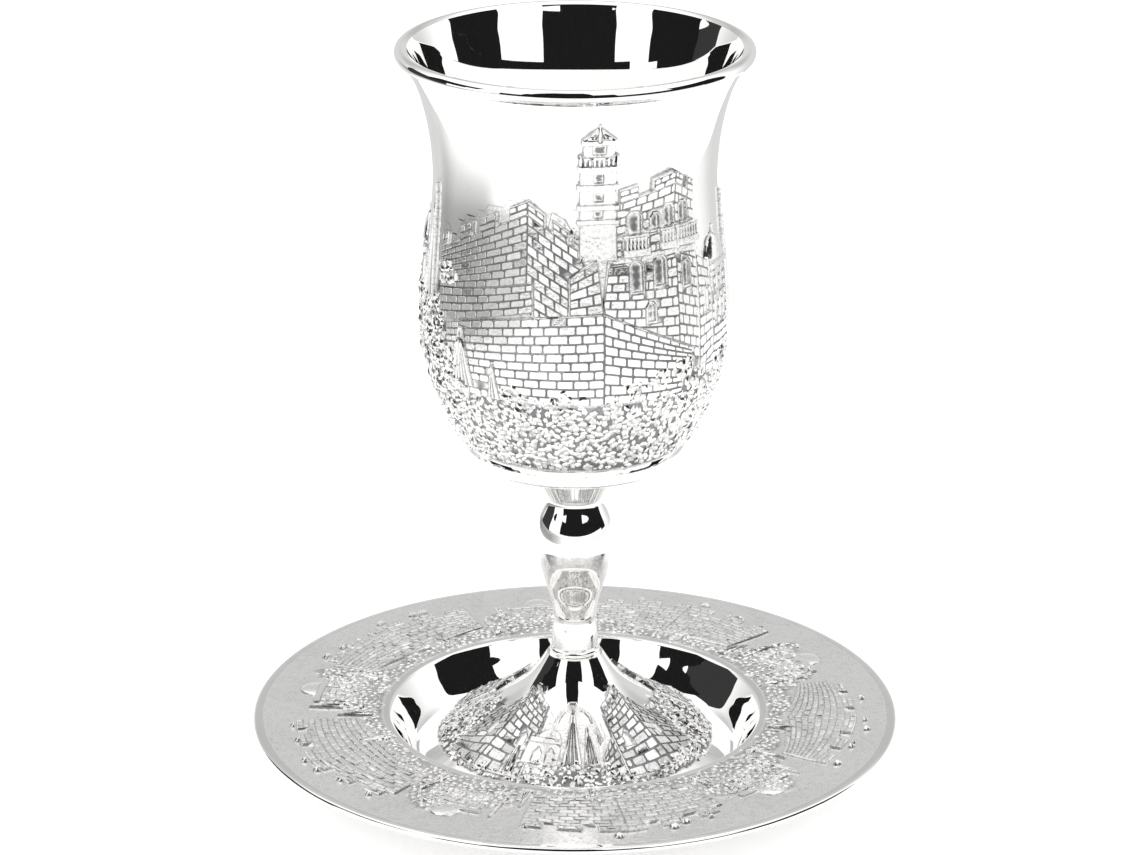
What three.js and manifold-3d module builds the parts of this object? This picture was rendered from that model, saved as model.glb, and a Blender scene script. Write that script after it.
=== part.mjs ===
// A stemmed kiddush cup standing in the well of its saucer: bowl, stem, foot and saucer, in millimetres.
// +Z is up, the origin is the centre of the saucer's underside, and the front of the relief faces -Y.
// The bowl, foot and saucer carry a walled city in relief: bastions, a stepped tower, domes and cypresses.
import * as THREE from "three";
import { mergeVertices } from "three/addons/utils/BufferGeometryUtils.js";
import Module from "manifold-3d";

const wasm = await Module();
wasm.setup();

// Driving dimensions.
const CUP_HEIGHT = 151; // table to lip
const LIP_RADIUS = 35.4;
const BELLY_RADIUS = 30; // the bowl's plain body, under the relief
const WAIST_RADIUS = 28.1;
const BOWL_WALL = 1.5;
const RING_RADIUS = 22.2; // the plain ring round the bowl's bottom
const RING_BOTTOM = 66.8;
const STEM_TOP = 62.2; // where the stem carries the bowl
const STEM_BOTTOM = 22.2; // where the stem stands on the foot
const KNOP_RADIUS = 8.1;
const FOOT_RADIUS = 32.3;
const FOOT_WALL = 1.6;
const SAUCER_RADIUS = 66.5;
const SAUCER_RIM = 9.4; // height of the saucer's flat rim
const SAUCER_SHEET = 1.2; // thickness of the saucer
const WELL_RADIUS = 38; // the well's mouth
const WELL_FLOOR_RADIUS = 34.6;
const WALL_LIFT = 0.8; // how far a wall of the city stands out of the bowl
const CORNER_LIFT = 1.5; // and how far a bastion's corner does
const MERLON_HEIGHT = 2.1;
const FOLIAGE_LIFT = 1.1;
const FOLIAGE_TOP = 88;

const SILVER = { color: 0xe2e3e4, roughness: 0.16, metalness: 1 };
const BRIGHT_SILVER = { color: 0xe8e9ea, roughness: 0.08, metalness: 1 };
const SATIN_SILVER = { color: 0xd8d9da, roughness: 0.26, metalness: 1 };

const point = (radius, height) => new THREE.Vector2(radius, height);
const curve = (steps, ...knots) => new THREE.SplineCurve(knots).getPoints(steps);
const { lerp, clamp, degToRad, radToDeg } = THREE.MathUtils;

// Part of a round bead, from turn start to turn end in units of pi.
function bead(radius, height, size, start, end, steps) {
  return Array.from({ length: steps + 1 }, (_, i) => {
    const turn = Math.PI * lerp(start, end, i / steps);
    return point(radius + size * Math.cos(turn), height + size * Math.sin(turn));
  });
}

// Turns a profile, listed anticlockwise in (radius, height), about +Z.
function turned(profile, segments) {
  const clean = profile.filter((p, i) => i === 0 || p.distanceTo(profile[i - 1]) > 1e-4);
  return new THREE.LatheGeometry(clean, segments).rotateX(Math.PI / 2);
}

function solid(geometry) {
  const bare = geometry.clone().deleteAttribute("normal").deleteAttribute("uv");
  const merged = mergeVertices(bare, 1e-3);
  const mesh = new wasm.Mesh({
    numProp: 3,
    vertProperties: merged.getAttribute("position").array,
    triVerts: new Uint32Array(merged.index.array),
  });
  return new wasm.Manifold(mesh);
}

function geometryOf(manifold) {
  const { vertProperties, triVerts } = manifold.getMesh();
  const geometry = new THREE.BufferGeometry();
  geometry.setAttribute("position", new THREE.BufferAttribute(vertProperties, 3));
  geometry.setIndex(new THREE.BufferAttribute(triVerts, 1));
  const flat = geometry.toNonIndexed();
  flat.computeVertexNormals();
  return flat;
}

// Reads a polyline of rows: the value of one column where another column has the given value.
function reader(rows, from, to) {
  const sorted = [...rows].sort((a, b) => a[from] - b[from]);
  return (value) => {
    const i = sorted.findIndex((row) => row[from] >= value);
    if (i === 0) return sorted[0][to];
    if (i < 0) return sorted[sorted.length - 1][to];
    const [low, high] = [sorted[i - 1], sorted[i]];
    return lerp(low[to], high[to], (value - low[from]) / (high[from] - low[from]));
  };
}

// Outside of the bowl from its bottom ring to just under the lip, and of the foot from its plain band up.
const BODY = curve(
  10,
  point(RING_RADIUS + 0.6, 70.2),
  point(25.9, 76),
  point(28.9, 84.4),
  point(BELLY_RADIUS - 0.15, 90.5),
  point(BELLY_RADIUS, 98),
  point(29.5, 106.6),
  point(28.5, 117.7),
  point(WAIST_RADIUS, 126),
  point(28.9, 134.5),
  point(30.9, 142.6),
  point(LIP_RADIUS - 2, 147.6),
);
const FLARE = curve(
  6,
  point(FOOT_RADIUS - 3.6, 3.4),
  point(22.6, 7.3),
  point(16.2, 11.3),
  point(11.2, 15),
  point(7.4, 18.9),
  point(5.7, STEM_BOTTOM),
);
const bodyRadius = reader(BODY, "y", "x");
const flareHeight = reader(FLARE, "x", "y");
const FLARE_LEAN = degToRad(55); // of the foot's mean normal above the horizontal

// A surface places a point by its bearing in degrees (0 at the front, growing to the right of one who faces
// the city upright), its climb in the city's upward direction, which is outwards on the saucer, and its lift
// off the surface. Roots is how deep raised pieces start in it.
function around(degrees, radius, height) {
  const turn = degToRad(degrees);
  return new THREE.Vector3(radius * Math.sin(turn), -radius * Math.cos(turn), height);
}
const onBowl = {
  roots: 0.95,
  radius: BELLY_RADIUS,
  place: (degrees, climb, lift) => around(degrees, bodyRadius(climb) + lift, climb),
};
const onFoot = {
  roots: 0.9,
  radius: 20,
  place: (degrees, climb, lift) => {
    const radius = FOOT_RADIUS - climb;
    const height = flareHeight(radius) + lift * Math.sin(FLARE_LEAN);
    return around(degrees, radius + lift * Math.cos(FLARE_LEAN), height);
  },
};
const onSaucer = {
  roots: 0.6,
  radius: 50,
  place: (degrees, climb, lift) => around(-degrees, WELL_RADIUS + climb, SAUCER_RIM + lift),
};

// Bends a solid built flat (x across, y up, z outwards, in millimetres) onto a surface at a bearing.
function bent(geometry, surface, bearing) {
  const corners = geometry.getAttribute("position");
  for (let i = 0; i < corners.count; i++) {
    const across = radToDeg(corners.getX(i) / surface.radius);
    const lift = Math.max(corners.getZ(i), -surface.roots);
    corners.setXYZ(i, ...surface.place(bearing + across, corners.getY(i), lift));
  }
  return solid(geometry);
}

// A wall from knots of [bearing, foot, top, lift], stepped into merlons over the given spans of bearing.
const MERLON_EDGE = 0.15;
const WALL_STEP = 15; // widest plain stretch, so that the wall follows the curve

function wall(surface, { knots, merlons = [], rise = MERLON_HEIGHT, rows = 1 }) {
  const [foot, top, lift] = [1, 2, 3].map((column) => reader(knots, 0, column));
  const stops = [
    ...knots.map((knot) => knot[0]),
    ...merlons.flatMap(([start, end]) => [start, start + MERLON_EDGE, end - MERLON_EDGE, end]),
  ].sort((a, b) => a - b);
  const bearings = stops.flatMap((stop, i) => {
    const next = stops[i + 1];
    if (next === undefined) return [stop];
    if (next - stop < 0.05) return [];
    const parts = Math.ceil((next - stop) / WALL_STEP);
    return Array.from({ length: parts }, (_, part) => lerp(stop, next, part / parts));
  });
  const inMerlon = (at) => merlons.some(([start, end]) => at > start + 0.05 && at < end - 0.05);
  const box = new THREE.BoxGeometry(1, 1, 1, bearings.length - 1, rows, 1);
  const corners = box.getAttribute("position");
  for (let i = 0; i < corners.count; i++) {
    const bearing = bearings[Math.round((corners.getX(i) + 0.5) * (bearings.length - 1))];
    const crest = top(bearing) + (inMerlon(bearing) ? rise : 0);
    const climb = lerp(foot(bearing), crest, corners.getY(i) + 0.5);
    const raised = corners.getZ(i) > 0 ? lift(bearing) : -surface.roots;
    corners.setXYZ(i, ...surface.place(bearing, climb, raised));
  }
  return solid(box);
}

// Evenly spaced merlons between two bearings.
function merlonRow(from, to, count, share = 0.6) {
  const pitch = (to - from) / count;
  return Array.from({ length: count }, (_, i) => [from + pitch * i, from + pitch * (i + share)]);
}

// A cypress is a flattened cone, a dome a flattened ball, and a tower a flattened turning, set half in.
function cypress(surface, bearing, foot, top, halfWidth, lift) {
  const cone = new THREE.ConeGeometry(halfWidth, top - foot, 6, 1).scale(1, 1, (lift + 0.5) / halfWidth);
  return bent(cone.translate(0, (foot + top) / 2, 0), surface, bearing);
}

function dome(surface, bearing, spring, halfWidth, rise, lift) {
  const ball = new THREE.SphereGeometry(1, 8, 4).scale(halfWidth, rise, lift);
  return bent(ball.translate(0, spring, 0), surface, bearing);
}

function plate(surface, left, right, foot, top, lift) {
  return wall(surface, { knots: [[left, foot, top, lift], [right, foot, top, lift]] });
}

// A round tower of tiers, each under a wider cornice, with a gallery, a lantern and a pointed roof.
function tower(surface, bearing, { foot, cornices, gallery, roof, apex, halfWidth, lift }) {
  const last = cornices[cornices.length - 1];
  const outline = [
    point(0, foot),
    point(halfWidth * 0.45, foot),
    ...cornices.flatMap((height) => [
      point(halfWidth * 0.86, height - 1.1),
      point(halfWidth * 1.08, height - 0.3),
      point(halfWidth * 0.9, height + 0.5),
    ]),
    point(halfWidth, last + 0.6),
    point(halfWidth, gallery),
    point(halfWidth * 0.6, gallery + 0.1),
    point(halfWidth * 0.6, roof),
    point(halfWidth * 0.85, roof + 0.1),
    point(0, apex),
  ];
  const shaft = new THREE.LatheGeometry(outline, 6).rotateY(Math.PI / 6).scale(1, 1, lift / halfWidth);
  return bent(shaft, surface, bearing);
}

// The city round the bowl: a bastion, a stepped tower behind its corner, a gatehouse, and a lower wall that
// ends in a wing running down to one side. Turn carries it to another bearing, and side -1 mirrors it.
const TOWER = {
  foot: 115.5, cornices: [123.6, 126.6, 130.7, 134.2], gallery: 137.4, roof: 140, apex: 143.1, halfWidth: 4,
  lift: WALL_LIFT * 1.9,
};
const PLAIN_TOWER = { ...TOWER, cornices: [123.6, 130.7] };
const OPENINGS = [
  [20.6, 25.4, 117.6, 121.6],
  [36.5, 41.5, 118.6, 123.2],
  [21.8, 25.6, 109.4, 115.4],
  [31, 35.2, 109.8, 116],
];

function cityOnBowl(turn, side, detailed) {
  const at = (bearing) => turn + side * bearing;
  const placed = (knots) => knots.map(([bearing, ...rest]) => [at(bearing), ...rest]);
  const spans = (list) => list.map(([a, b]) => [at(a), at(b)].sort((p, q) => p - q));
  const bastion = wall(onBowl, {
    knots: placed([
      [-64, 100, 113.6, WALL_LIFT * 0.7],
      [-47, 100, 118.8, WALL_LIFT],
      [-18.2, 103, 124.8, CORNER_LIFT],
      [-4, 103.5, 119.8, WALL_LIFT],
      [7.8, 104, 115.4, WALL_LIFT * 0.7],
    ]),
    merlons: spans([[-50, -43], [-39.5, -31.5], [-25.8, -11.5], [-8.6, -2.6], [-0.8, 4.6]]),
  });
  const gatehouse = wall(onBowl, {
    knots: placed([
      [8, 100, 117, WALL_LIFT],
      [15.9, 98, 126.8, WALL_LIFT],
      [40.5, 93, 130, CORNER_LIFT],
      [52, 93, 126.6, WALL_LIFT],
    ]),
    merlons: spans([[17.2, 24.6], [31, 44.6], [47.6, 51.6]]),
  });
  const lowerWall = wall(onBowl, {
    knots: placed([
      [-55, 86.5, 99.8, 0.9],
      [-13, 86.5, 104.4, 1.15],
      [10.5, 86.5, 105.3, 1.3],
      [47.5, 89.5, 95.6, 1],
      [51, 89.5, 93, 0.8],
    ]),
  });
  const pieces = [
    bastion,
    lowerWall,
    tower(onBowl, at(8.7), detailed ? TOWER : PLAIN_TOWER),
    cypress(onBowl, at(-46), 88.5, 99.7, 2.8, 1.6),
  ];
  if (!detailed) return [...pieces, gatehouse];
  // Windows and doors are shallow recesses, and each upper window has a balcony under it.
  const recesses = OPENINGS.map(([left, right, foot, top]) =>
    wall({ ...onBowl, roots: -0.35 }, { knots: placed([[left, foot, top, 4], [right, foot, top, 4]]) }),
  );
  return [
    ...pieces,
    recesses.reduce((whole, recess) => whole.subtract(recess), gatehouse),
    plate(onBowl, at(18.4), at(28.6), 116, 118.2, 1.8),
    plate(onBowl, at(33.6), at(53), 116.6, 118.8, 2.1),
  ];
}

function bowlRelief() {
  const s = onBowl;
  return [
    ...cityOnBowl(0, 1, true),
    plate(s, 57, 78, 90, 109.8, 0.8),
    dome(s, 68, 109.6, 4.2, 4, 0.9),
    cypress(s, 84, 96, 124.4, 2.8, 0.9),
    cypress(s, -71.5, 96, 126.6, 2.8, 0.9),
    ...cityOnBowl(180, -1, false),
    plate(s, 96, 118, 90, 107, 0.8),
    plate(s, 252, 274, 90, 108, 0.8),
    dome(s, 263, 107.8, 4.6, 4.4, 0.9),
  ];
}

// The city on the foot: a pair of bastions that face each other over a gap with cypresses in it.
const FOOT_LIFT = 0.5;

function footRelief() {
  const s = onFoot;
  return [0, 180].flatMap((turn) => [
    ...[-1, 1].map((side) => {
      const at = (bearing) => turn + side * bearing;
      return wall(s, {
        knots: [
          [at(17), 7.6, 8.4, FOOT_LIFT],
          [at(20), 7.6, 15.6, FOOT_LIFT],
          [at(25), 6.8, 19.6, FOOT_LIFT],
          [at(46), 6, 20.6, FOOT_LIFT * 1.4],
          [at(52), 5.6, 14.6, FOOT_LIFT * 1.6],
          [at(74), 6.2, 12.4, FOOT_LIFT],
        ],
      });
    }),
    plate(s, turn - 27, turn - 9, 8.8, 13.8, FOOT_LIFT),
    dome(s, turn - 17, 14, 2.6, 2.4, 0.9),
    cypress(s, turn - 1, 8.6, 20.4, 2.4, 0.8),
    cypress(s, turn + 8, 8.6, 16.6, 2.4, 0.8),
    dome(s, turn + 92, 8.4, 4.6, 3.4, 0.8),
    cypress(s, turn + 104, 7, 14, 1.8, 0.7),
  ]);
}

// The city on the saucer, whose up direction is outwards: five groups of a bastion, a hall and a cypress.
const SAUCER_GROUPS = 5;
const SAUCER_LIFT = 0.35;

function saucerRelief() {
  const s = onSaucer;
  return Array.from({ length: SAUCER_GROUPS }, (_, i) => (360 / SAUCER_GROUPS) * i).flatMap((turn) => [
    wall(s, {
      knots: [
        [turn - 8, 5, 14.6, SAUCER_LIFT],
        [turn + 9, 7, 18.6, SAUCER_LIFT * 1.8],
        [turn + 34, 9, 15.2, SAUCER_LIFT],
      ],
      merlons: merlonRow(turn - 5, turn + 33, 3),
      rise: 1.8,
    }),
    plate(s, turn + 41, turn + 54, 9, 14.6, SAUCER_LIFT),
    dome(s, turn + 47.5, 14.4, 4, 4, 0.7),
    cypress(s, turn + 59, 4.5, 20, 1.8, 0.6),
  ]);
}

// Ruffles a turned body into rolling foliage: each corner is moved outwards by what lift says.
function ruffled(geometry, lift) {
  const corners = geometry.getAttribute("position");
  for (let i = 0; i < corners.count; i++) {
    const [x, y, z] = [corners.getX(i), corners.getY(i), corners.getZ(i)];
    const radius = Math.hypot(x, y);
    const [out, up] = lift(Math.atan2(x, -y), radius, z);
    if (out || up) corners.setXYZ(i, x * (1 + out / radius), y * (1 + out / radius), z + up);
  }
  return geometry;
}
const rolling = (turn, row) => 0.62 + 0.22 * Math.sin(11 * turn + row) + 0.16 * Math.cos(17 * turn - 2 * row);

function named(name, geometry, finish) {
  const mesh = new THREE.Mesh(geometry, new THREE.MeshStandardMaterial(finish));
  mesh.name = name;
  return mesh;
}

// Joins the raised pieces to what carries them, and keeps the one body without slivers from the joints.
function withRelief(plain, relief) {
  const joined = relief.reduce((whole, piece) => whole.add(piece), solid(plain));
  const bodies = joined.decompose().sort((a, b) => b.volume() - a.volume());
  return geometryOf(bodies[0]);
}

// Bowl: hollow, with a rounded lip, a plain ring at the bottom and a shallow dome under it.
function bowl() {
  const inside = curve(
    6,
    point(0, 68.4),
    point(12, 69.2),
    point(19.6, 72.6),
    point(25.2, 79.6),
    point(BELLY_RADIUS - BOWL_WALL - 0.5, 88.5),
    point(BELLY_RADIUS - BOWL_WALL, 97),
    point(WAIST_RADIUS - BOWL_WALL + 0.6, 117),
    point(WAIST_RADIUS - BOWL_WALL, 127),
    point(28.3, 138),
    point(31.2, 146.6),
    point(LIP_RADIUS - 2.5, CUP_HEIGHT - 0.5),
  ).reverse();
  const profile = [
    point(0, STEM_TOP),
    point(9.5, STEM_TOP),
    point(16, 63.8),
    point(RING_RADIUS - 0.6, 66.2),
    point(RING_RADIUS, RING_BOTTOM),
    point(RING_RADIUS, RING_BOTTOM + 1.8),
    point(RING_RADIUS - 0.5, RING_BOTTOM + 2.3),
    ...BODY,
    ...bead(LIP_RADIUS - 1.3, CUP_HEIGHT - 1.3, 1.3, -0.3, 0.6, 3),
    ...inside,
  ];
  const body = ruffled(turned(profile, 36), (turn, radius, height) => {
    const outside = Math.abs(radius - bodyRadius(height)) < 0.05;
    return [outside && height > 71 && height < FOLIAGE_TOP ? FOLIAGE_LIFT * rolling(turn, height) : 0, 0];
  });
  return named("bowl", withRelief(body, bowlRelief()), SILVER);
}

// Stem: a baluster with a collar under the bowl, a knop, a slim neck and a ring on the foot.
function stem() {
  const profile = [
    point(0, STEM_BOTTOM),
    point(4.75, STEM_BOTTOM),
    ...bead(4.5, STEM_BOTTOM + 0.75, 0.65, -0.4, 0.35, 2),
    ...curve(
      12,
      point(4.85, 24),
      point(4.6, 27),
      point(4.25, 30.1),
      point(4.95, 34.2),
      point(6.4, 38.8),
      point(KNOP_RADIUS - 0.35, 44.2),
      point(KNOP_RADIUS, 47.6),
      point(7.4, 51.7),
      point(5.75, 55.5),
      point(6.2, 57.3),
      point(9.2, STEM_TOP),
    ),
    point(0, STEM_TOP),
  ];
  return named("stem", turned(profile, 24), BRIGHT_SILVER);
}

// Foot: a hollow bell with a plain band round it, open underneath.
function foot() {
  const floor = SAUCER_SHEET;
  const hollow = FLARE.map((p) => point(p.x - FOOT_WALL * 0.56, p.y - FOOT_WALL * 0.83))
    .filter((p) => p.x > 6)
    .reverse();
  const profile = [
    point(FOOT_RADIUS - FOOT_WALL, floor),
    point(FOOT_RADIUS, floor),
    point(FOOT_RADIUS, floor + 0.5),
    point(FOOT_RADIUS - 0.6, floor + 1),
    ...FLARE,
    point(0, STEM_BOTTOM),
    point(0, hollow[0].y),
    ...hollow,
    point(FOOT_RADIUS - FOOT_WALL, floor),
  ];
  const body = ruffled(turned(profile, 32), (turn, radius, height) => {
    const outside = height > 3.5 && Math.abs(height - flareHeight(radius)) < 0.05 && radius > 19;
    return [0, outside ? 0.7 * rolling(turn, radius) : 0];
  });
  return named("foot", withRelief(body, footRelief()), SILVER);
}

// Saucer: a flat rim with a rounded edge round a deep well, all of one sheet.
function saucer() {
  const top = SAUCER_RIM;
  const sheet = SAUCER_SHEET;
  const well = [
    point(WELL_FLOOR_RADIUS, sheet),
    point(WELL_FLOOR_RADIUS + 1.4, sheet + 1.2),
    point(WELL_RADIUS - 0.9, top - 3.4),
    point(WELL_RADIUS, top - 0.3),
  ];
  const profile = [
    point(0, 0),
    ...well.map((p) => point(p.x + sheet, p.y - sheet)),
    ...bead(SAUCER_RADIUS - 0.65, top - 0.65, 0.65, -0.5, 0.5, 3),
    point(WELL_RADIUS + 1.2, top),
    ...well.reverse(),
    point(0, sheet),
  ];
  return named("saucer", withRelief(turned(profile, 48), saucerRelief()), SATIN_SILVER);
}

const cup = new THREE.Group();
cup.add(bowl(), stem(), foot());
const set = new THREE.Group();
set.add(saucer(), cup);

export default set;
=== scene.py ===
"""A kiddush cup in the well of its saucer: turned bodies in silver plate with a walled city in low relief.

Each turned surface is unrolled onto a plane, the city is laid out there from near to far as one height field
(walls of separate stones, towers, domes, cypresses), and the field is rolled back onto the surface and closed
with the plain turned part of the piece. Leaves are strewn over the planted ground.
"""
import math

import bmesh
import bpy
import numpy as np
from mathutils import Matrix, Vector
from mathutils.geometry import delaunay_2d_cdt


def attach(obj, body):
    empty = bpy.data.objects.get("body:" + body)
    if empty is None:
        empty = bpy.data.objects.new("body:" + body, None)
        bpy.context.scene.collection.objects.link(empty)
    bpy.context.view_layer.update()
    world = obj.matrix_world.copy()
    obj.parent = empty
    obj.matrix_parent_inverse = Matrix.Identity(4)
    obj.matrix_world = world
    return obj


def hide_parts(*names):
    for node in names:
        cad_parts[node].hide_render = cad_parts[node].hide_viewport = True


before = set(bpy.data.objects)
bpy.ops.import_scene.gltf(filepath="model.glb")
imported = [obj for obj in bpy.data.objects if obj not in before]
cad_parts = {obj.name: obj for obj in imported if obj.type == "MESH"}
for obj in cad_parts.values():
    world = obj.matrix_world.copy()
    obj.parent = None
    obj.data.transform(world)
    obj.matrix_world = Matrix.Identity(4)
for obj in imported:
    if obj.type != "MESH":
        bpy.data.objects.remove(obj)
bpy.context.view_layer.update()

bl_info = {
    "name": "Kiddush Cup and Saucer",
    "version": (1, 0, 0),
    "blender": (4, 5, 0),
    "location": "3D View > Sidebar > Kiddush Cup",
    "description": "Builds a silver-plated kiddush cup and saucer with a walled city in relief",
    "category": "Add Mesh",
}

MM = 0.001
TURNING_AXIS = 1.0  # radius in mm of the guide circle that profiles are swept round
COLUMNS = 48  # the number of facets round a piece is a multiple of this
STEM_FACETS = 96

# Sizes in millimetres, as in the solids.
CUP_HEIGHT = 151
LIP_RADIUS = 35.4
BELLY_RADIUS = 30
WAIST_RADIUS = 28.1
BOWL_WALL = 1.5
RING_RADIUS = 22.2
RING_BOTTOM = 66.8
STEM_TOP = 62.2
STEM_BOTTOM = 22.2
KNOP_RADIUS = 8.1
FOOT_RADIUS = 32.3
FOOT_WALL = 1.6
SAUCER_RADIUS = 66.5
SAUCER_RIM = 9.4
SAUCER_SHEET = 1.2
WELL_RADIUS = 38
WELL_FLOOR_RADIUS = 34.6

# Where the relief begins and ends: heights on the bowl, radii on the foot and the saucer.
BOWL_BAND = (70.2, 144.4)
FOOT_BAND_END = 7.4
SAUCER_BAND = (39.6, 64.6)

# Relief, in millimetres.
SKIRT = 0.15  # width of the steep side of anything raised
APRON = 2.3  # where the ground beside a form is held down, in widths of its steep side
CREST = 0.15  # how far its crest stands in from its outline, in the same widths
CREST_END = 0.35  # and from the corners
BEVEL = 0.15  # width of a stone's cut edge
JOINT = 0.075  # half the width of the bottom of a joint
CORNER = 0.22  # cut off the corners of a stone
CUT_SIDE = 0.7  # least side of a stone whose corners are cut
LEAST_SIDE = 0.04  # of a stone
LEAST_AREA = 0.1  # of the top of a stone
LEAST_SHARE = 0.16  # of a stone's length, below which it is left out
JOINT_SHIFT = 0.13  # most that an upright joint is off its place, as a share of a stone's length
STONE_SPREAD = (0.75, 1.25)  # range of the rise of stones
GAP = 0.05  # least spacing between outlines
EDGE_STEP = 1.1  # spacing of points along an outline
SEAM_STEP = 1.2  # spacing of points along the line where the two ends of a relief meet
GROUND_GRAIN = 0.02  # how far points of planted ground are off its level
GROUND_SHIFT = 0.28  # and off their place in the row, as a share of the spacing of rows
ROW = 0.87  # distance between two rows of points, as a share of the distance within a row

LEAF_DENSITY = 4e6  # places tried for leaves on a square metre
LEAF_LEAN = 0.16  # most lean of a leaf, in radians
LEAF_HEIGHT = 0.42  # of a leaf, as a share of its length
WELD = 2e-6  # distance in metres within which two edges become one
SHARP = math.radians(24)  # least angle of an edge that is shown sharp

# Tones run from 0, polished, to 1, black with oxide and painted shade.
PLAIN_TONE = 0.1
# The ground round the foot of a raised form is darkened, lightly in the apron and more at the foot: oxide and
# painted shade where the form meets the ground.
APRON_TONE = 0.2
FOOT_TONE = 0.6
# Openings and the creases of cypresses are dark: oxide and painted shade in the hollows.
OPENING_TONE = 0.8
RIDGE_TONE, CREASE_TONE = 0.05, 0.85  # of a cypress
# The ground under the leaves is darkened: oxide and painted shade under the leaves.
UNDER_LEAF_OXIDE_AND_SHADE = 0.95  # tone of the ground under leaves, as a share of that of joints
PIT_TONES = (2, 8)  # range of the tones of stippled ground for each millimetre of its unevenness
SEAM_TONE = 6  # the same for the line where the two ends of a relief meet
LEAST_PLANTED = 0.05  # where planted ground begins


# ---------------------------------------------------------------- outlines

def spline(knots, steps=12):
    """Uniform Catmull-Rom curve through (radius, height) knots."""
    knots = np.array(knots, float)
    last = len(knots) - 1
    rows = []
    for step in range(last * steps + 1):
        place = step / steps
        i = min(int(place), last)
        w = place - i
        a, b = knots[max(i - 1, 0)], knots[i]
        c, d = knots[min(i + 1, last)], knots[min(i + 2, last)]
        slope, next_slope = (c - a) / 2, (d - b) / 2
        rows.append(
            (2 * b - 2 * c + slope + next_slope) * w ** 3
            + (-3 * b + 3 * c - 2 * slope - next_slope) * w ** 2
            + slope * w + b
        )
    return np.array(rows)


def arc(radius, height, size, start, end, steps):
    """Part of a round bead in the profile, from start to end in half turns."""
    turns = np.linspace(start, end, steps + 1) * math.pi
    return np.stack([radius + size * np.cos(turns), height + size * np.sin(turns)], 1)


def joined(*parts):
    """One outline from several, without repeated points."""
    rows = np.vstack([np.atleast_2d(np.array(part, float)) for part in parts])
    keep = np.r_[True, np.hypot(*np.diff(rows, axis=0).T) > 1e-4]
    return rows[keep]


BODY = spline([
    (RING_RADIUS + 0.6, BOWL_BAND[0]), (25.9, 76), (28.9, 84.4), (BELLY_RADIUS - 0.15, 90.5),
    (BELLY_RADIUS, 98), (29.5, 106.6), (28.5, 117.7), (WAIST_RADIUS, 126), (28.9, 134.5), (30.9, 142.6),
    (LIP_RADIUS - 2, 147.6),
])
BOWL_INSIDE = spline([
    (0, 68.4), (12, 69.2), (19.6, 72.6), (25.2, 79.6), (BELLY_RADIUS - BOWL_WALL - 0.5, 88.5),
    (BELLY_RADIUS - BOWL_WALL, 97), (WAIST_RADIUS - BOWL_WALL + 0.6, 117), (WAIST_RADIUS - BOWL_WALL, 127),
    (28.3, 138), (31.2, 146.6), (LIP_RADIUS - 2.5, CUP_HEIGHT - 0.5),
])[::-1]
BALUSTER = spline([
    (4.85, 24), (4.6, 27), (4.25, 30.1), (4.95, 34.2), (6.4, 38.8), (KNOP_RADIUS - 0.35, 44.2),
    (KNOP_RADIUS, 47.6), (7.4, 51.7), (5.75, 55.5), (6.2, 57.3), (9.2, STEM_TOP),
], 8)
FLARE = spline([
    (FOOT_RADIUS - 3.6, 3.4), (22.6, 7.3), (16.2, 11.3), (11.2, 15), (8.2, 18.3), (5.7, STEM_BOTTOM),
])
WELL = spline([
    (WELL_RADIUS, SAUCER_RIM - 0.4), (WELL_RADIUS - 1.2, 7.0), (WELL_RADIUS - 2.5, 4.7),
    (WELL_FLOOR_RADIUS - 0.6, 2.3), (WELL_FLOOR_RADIUS - 1.7, SAUCER_SHEET),
], 6)


def wave(bearing, climb, *terms):
    """A sum of cosines: each term is (size, times round, per millimetre of climb, shift)."""
    return sum(size * np.cos(np.radians(bearing) * turns + climb * rises + shift)
               for size, turns, rises, shift in terms)


def rolling(bearing, climb):
    """Low mounds of planted ground, from 0 to 1."""
    return 0.5 + 0.5 * wave(bearing, climb, (0.5, 17, 0.9, 0.3), (0.35, -11, 1.3, 1.9), (0.15, 31, 0.5, 4.0))


def fade_in(value, start, width):
    """0 up to start, 1 from start + width, and even in between."""
    return np.clip((value - start) / width, 0, 1)


# ---------------------------------------------------------------- unrolled surfaces

class Unrolled:
    """A turned surface laid flat without distorting angles. Places are given by bearing and climb."""

    def __init__(self, outline, climb, mean_radius, side=1):
        self.radius, self.height = outline.T
        self.climb = climb
        self.mean = mean_radius
        self.side = side
        step = np.diff(outline, axis=0)
        length = np.hypot(*step.T)
        middle = (self.radius[1:] + self.radius[:-1]) / 2
        self.rise = np.r_[0, np.cumsum(length * mean_radius / middle)]
        tangent = np.gradient(outline, axis=0)
        tangent /= np.linalg.norm(tangent, axis=1)[:, None]
        self.normal = side * np.stack([tangent[:, 1], -tangent[:, 0]], 1)

    def flat(self, places):
        places = np.atleast_2d(np.array(places, float))
        up = np.interp(places[:, 1], self.climb, self.rise)
        return np.stack([np.radians(places[:, 0]) * self.mean, up], 1)

    def where(self, points):
        """Bearing and climb of points of the plane."""
        return np.degrees(points[:, 0] / self.mean), np.interp(points[:, 1], self.rise, self.climb)

    def scale(self, points):
        """Millimetres on the surface for one unit of the plane."""
        return np.interp(np.atleast_2d(points)[:, 1], self.rise, self.radius) / self.mean

    def roll(self, points, lift):
        turn = self.side * points[:, 0] / self.mean
        radius = np.interp(points[:, 1], self.rise, self.radius)
        height = np.interp(points[:, 1], self.rise, self.height)
        out = np.interp(points[:, 1], self.rise, self.normal[:, 0])
        up = np.interp(points[:, 1], self.rise, self.normal[:, 1])
        reach = radius + lift * out
        return np.stack([reach * np.sin(turn), -reach * np.cos(turn), height + lift * up], 1)


def area(shape):
    x, y = shape.T
    return 0.5 * float(np.dot(x, np.roll(y, -1)) - np.dot(y, np.roll(x, -1)))


def upright(shape):
    """The same outline, anticlockwise."""
    return shape if area(shape) > 0 else shape[::-1]


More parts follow.
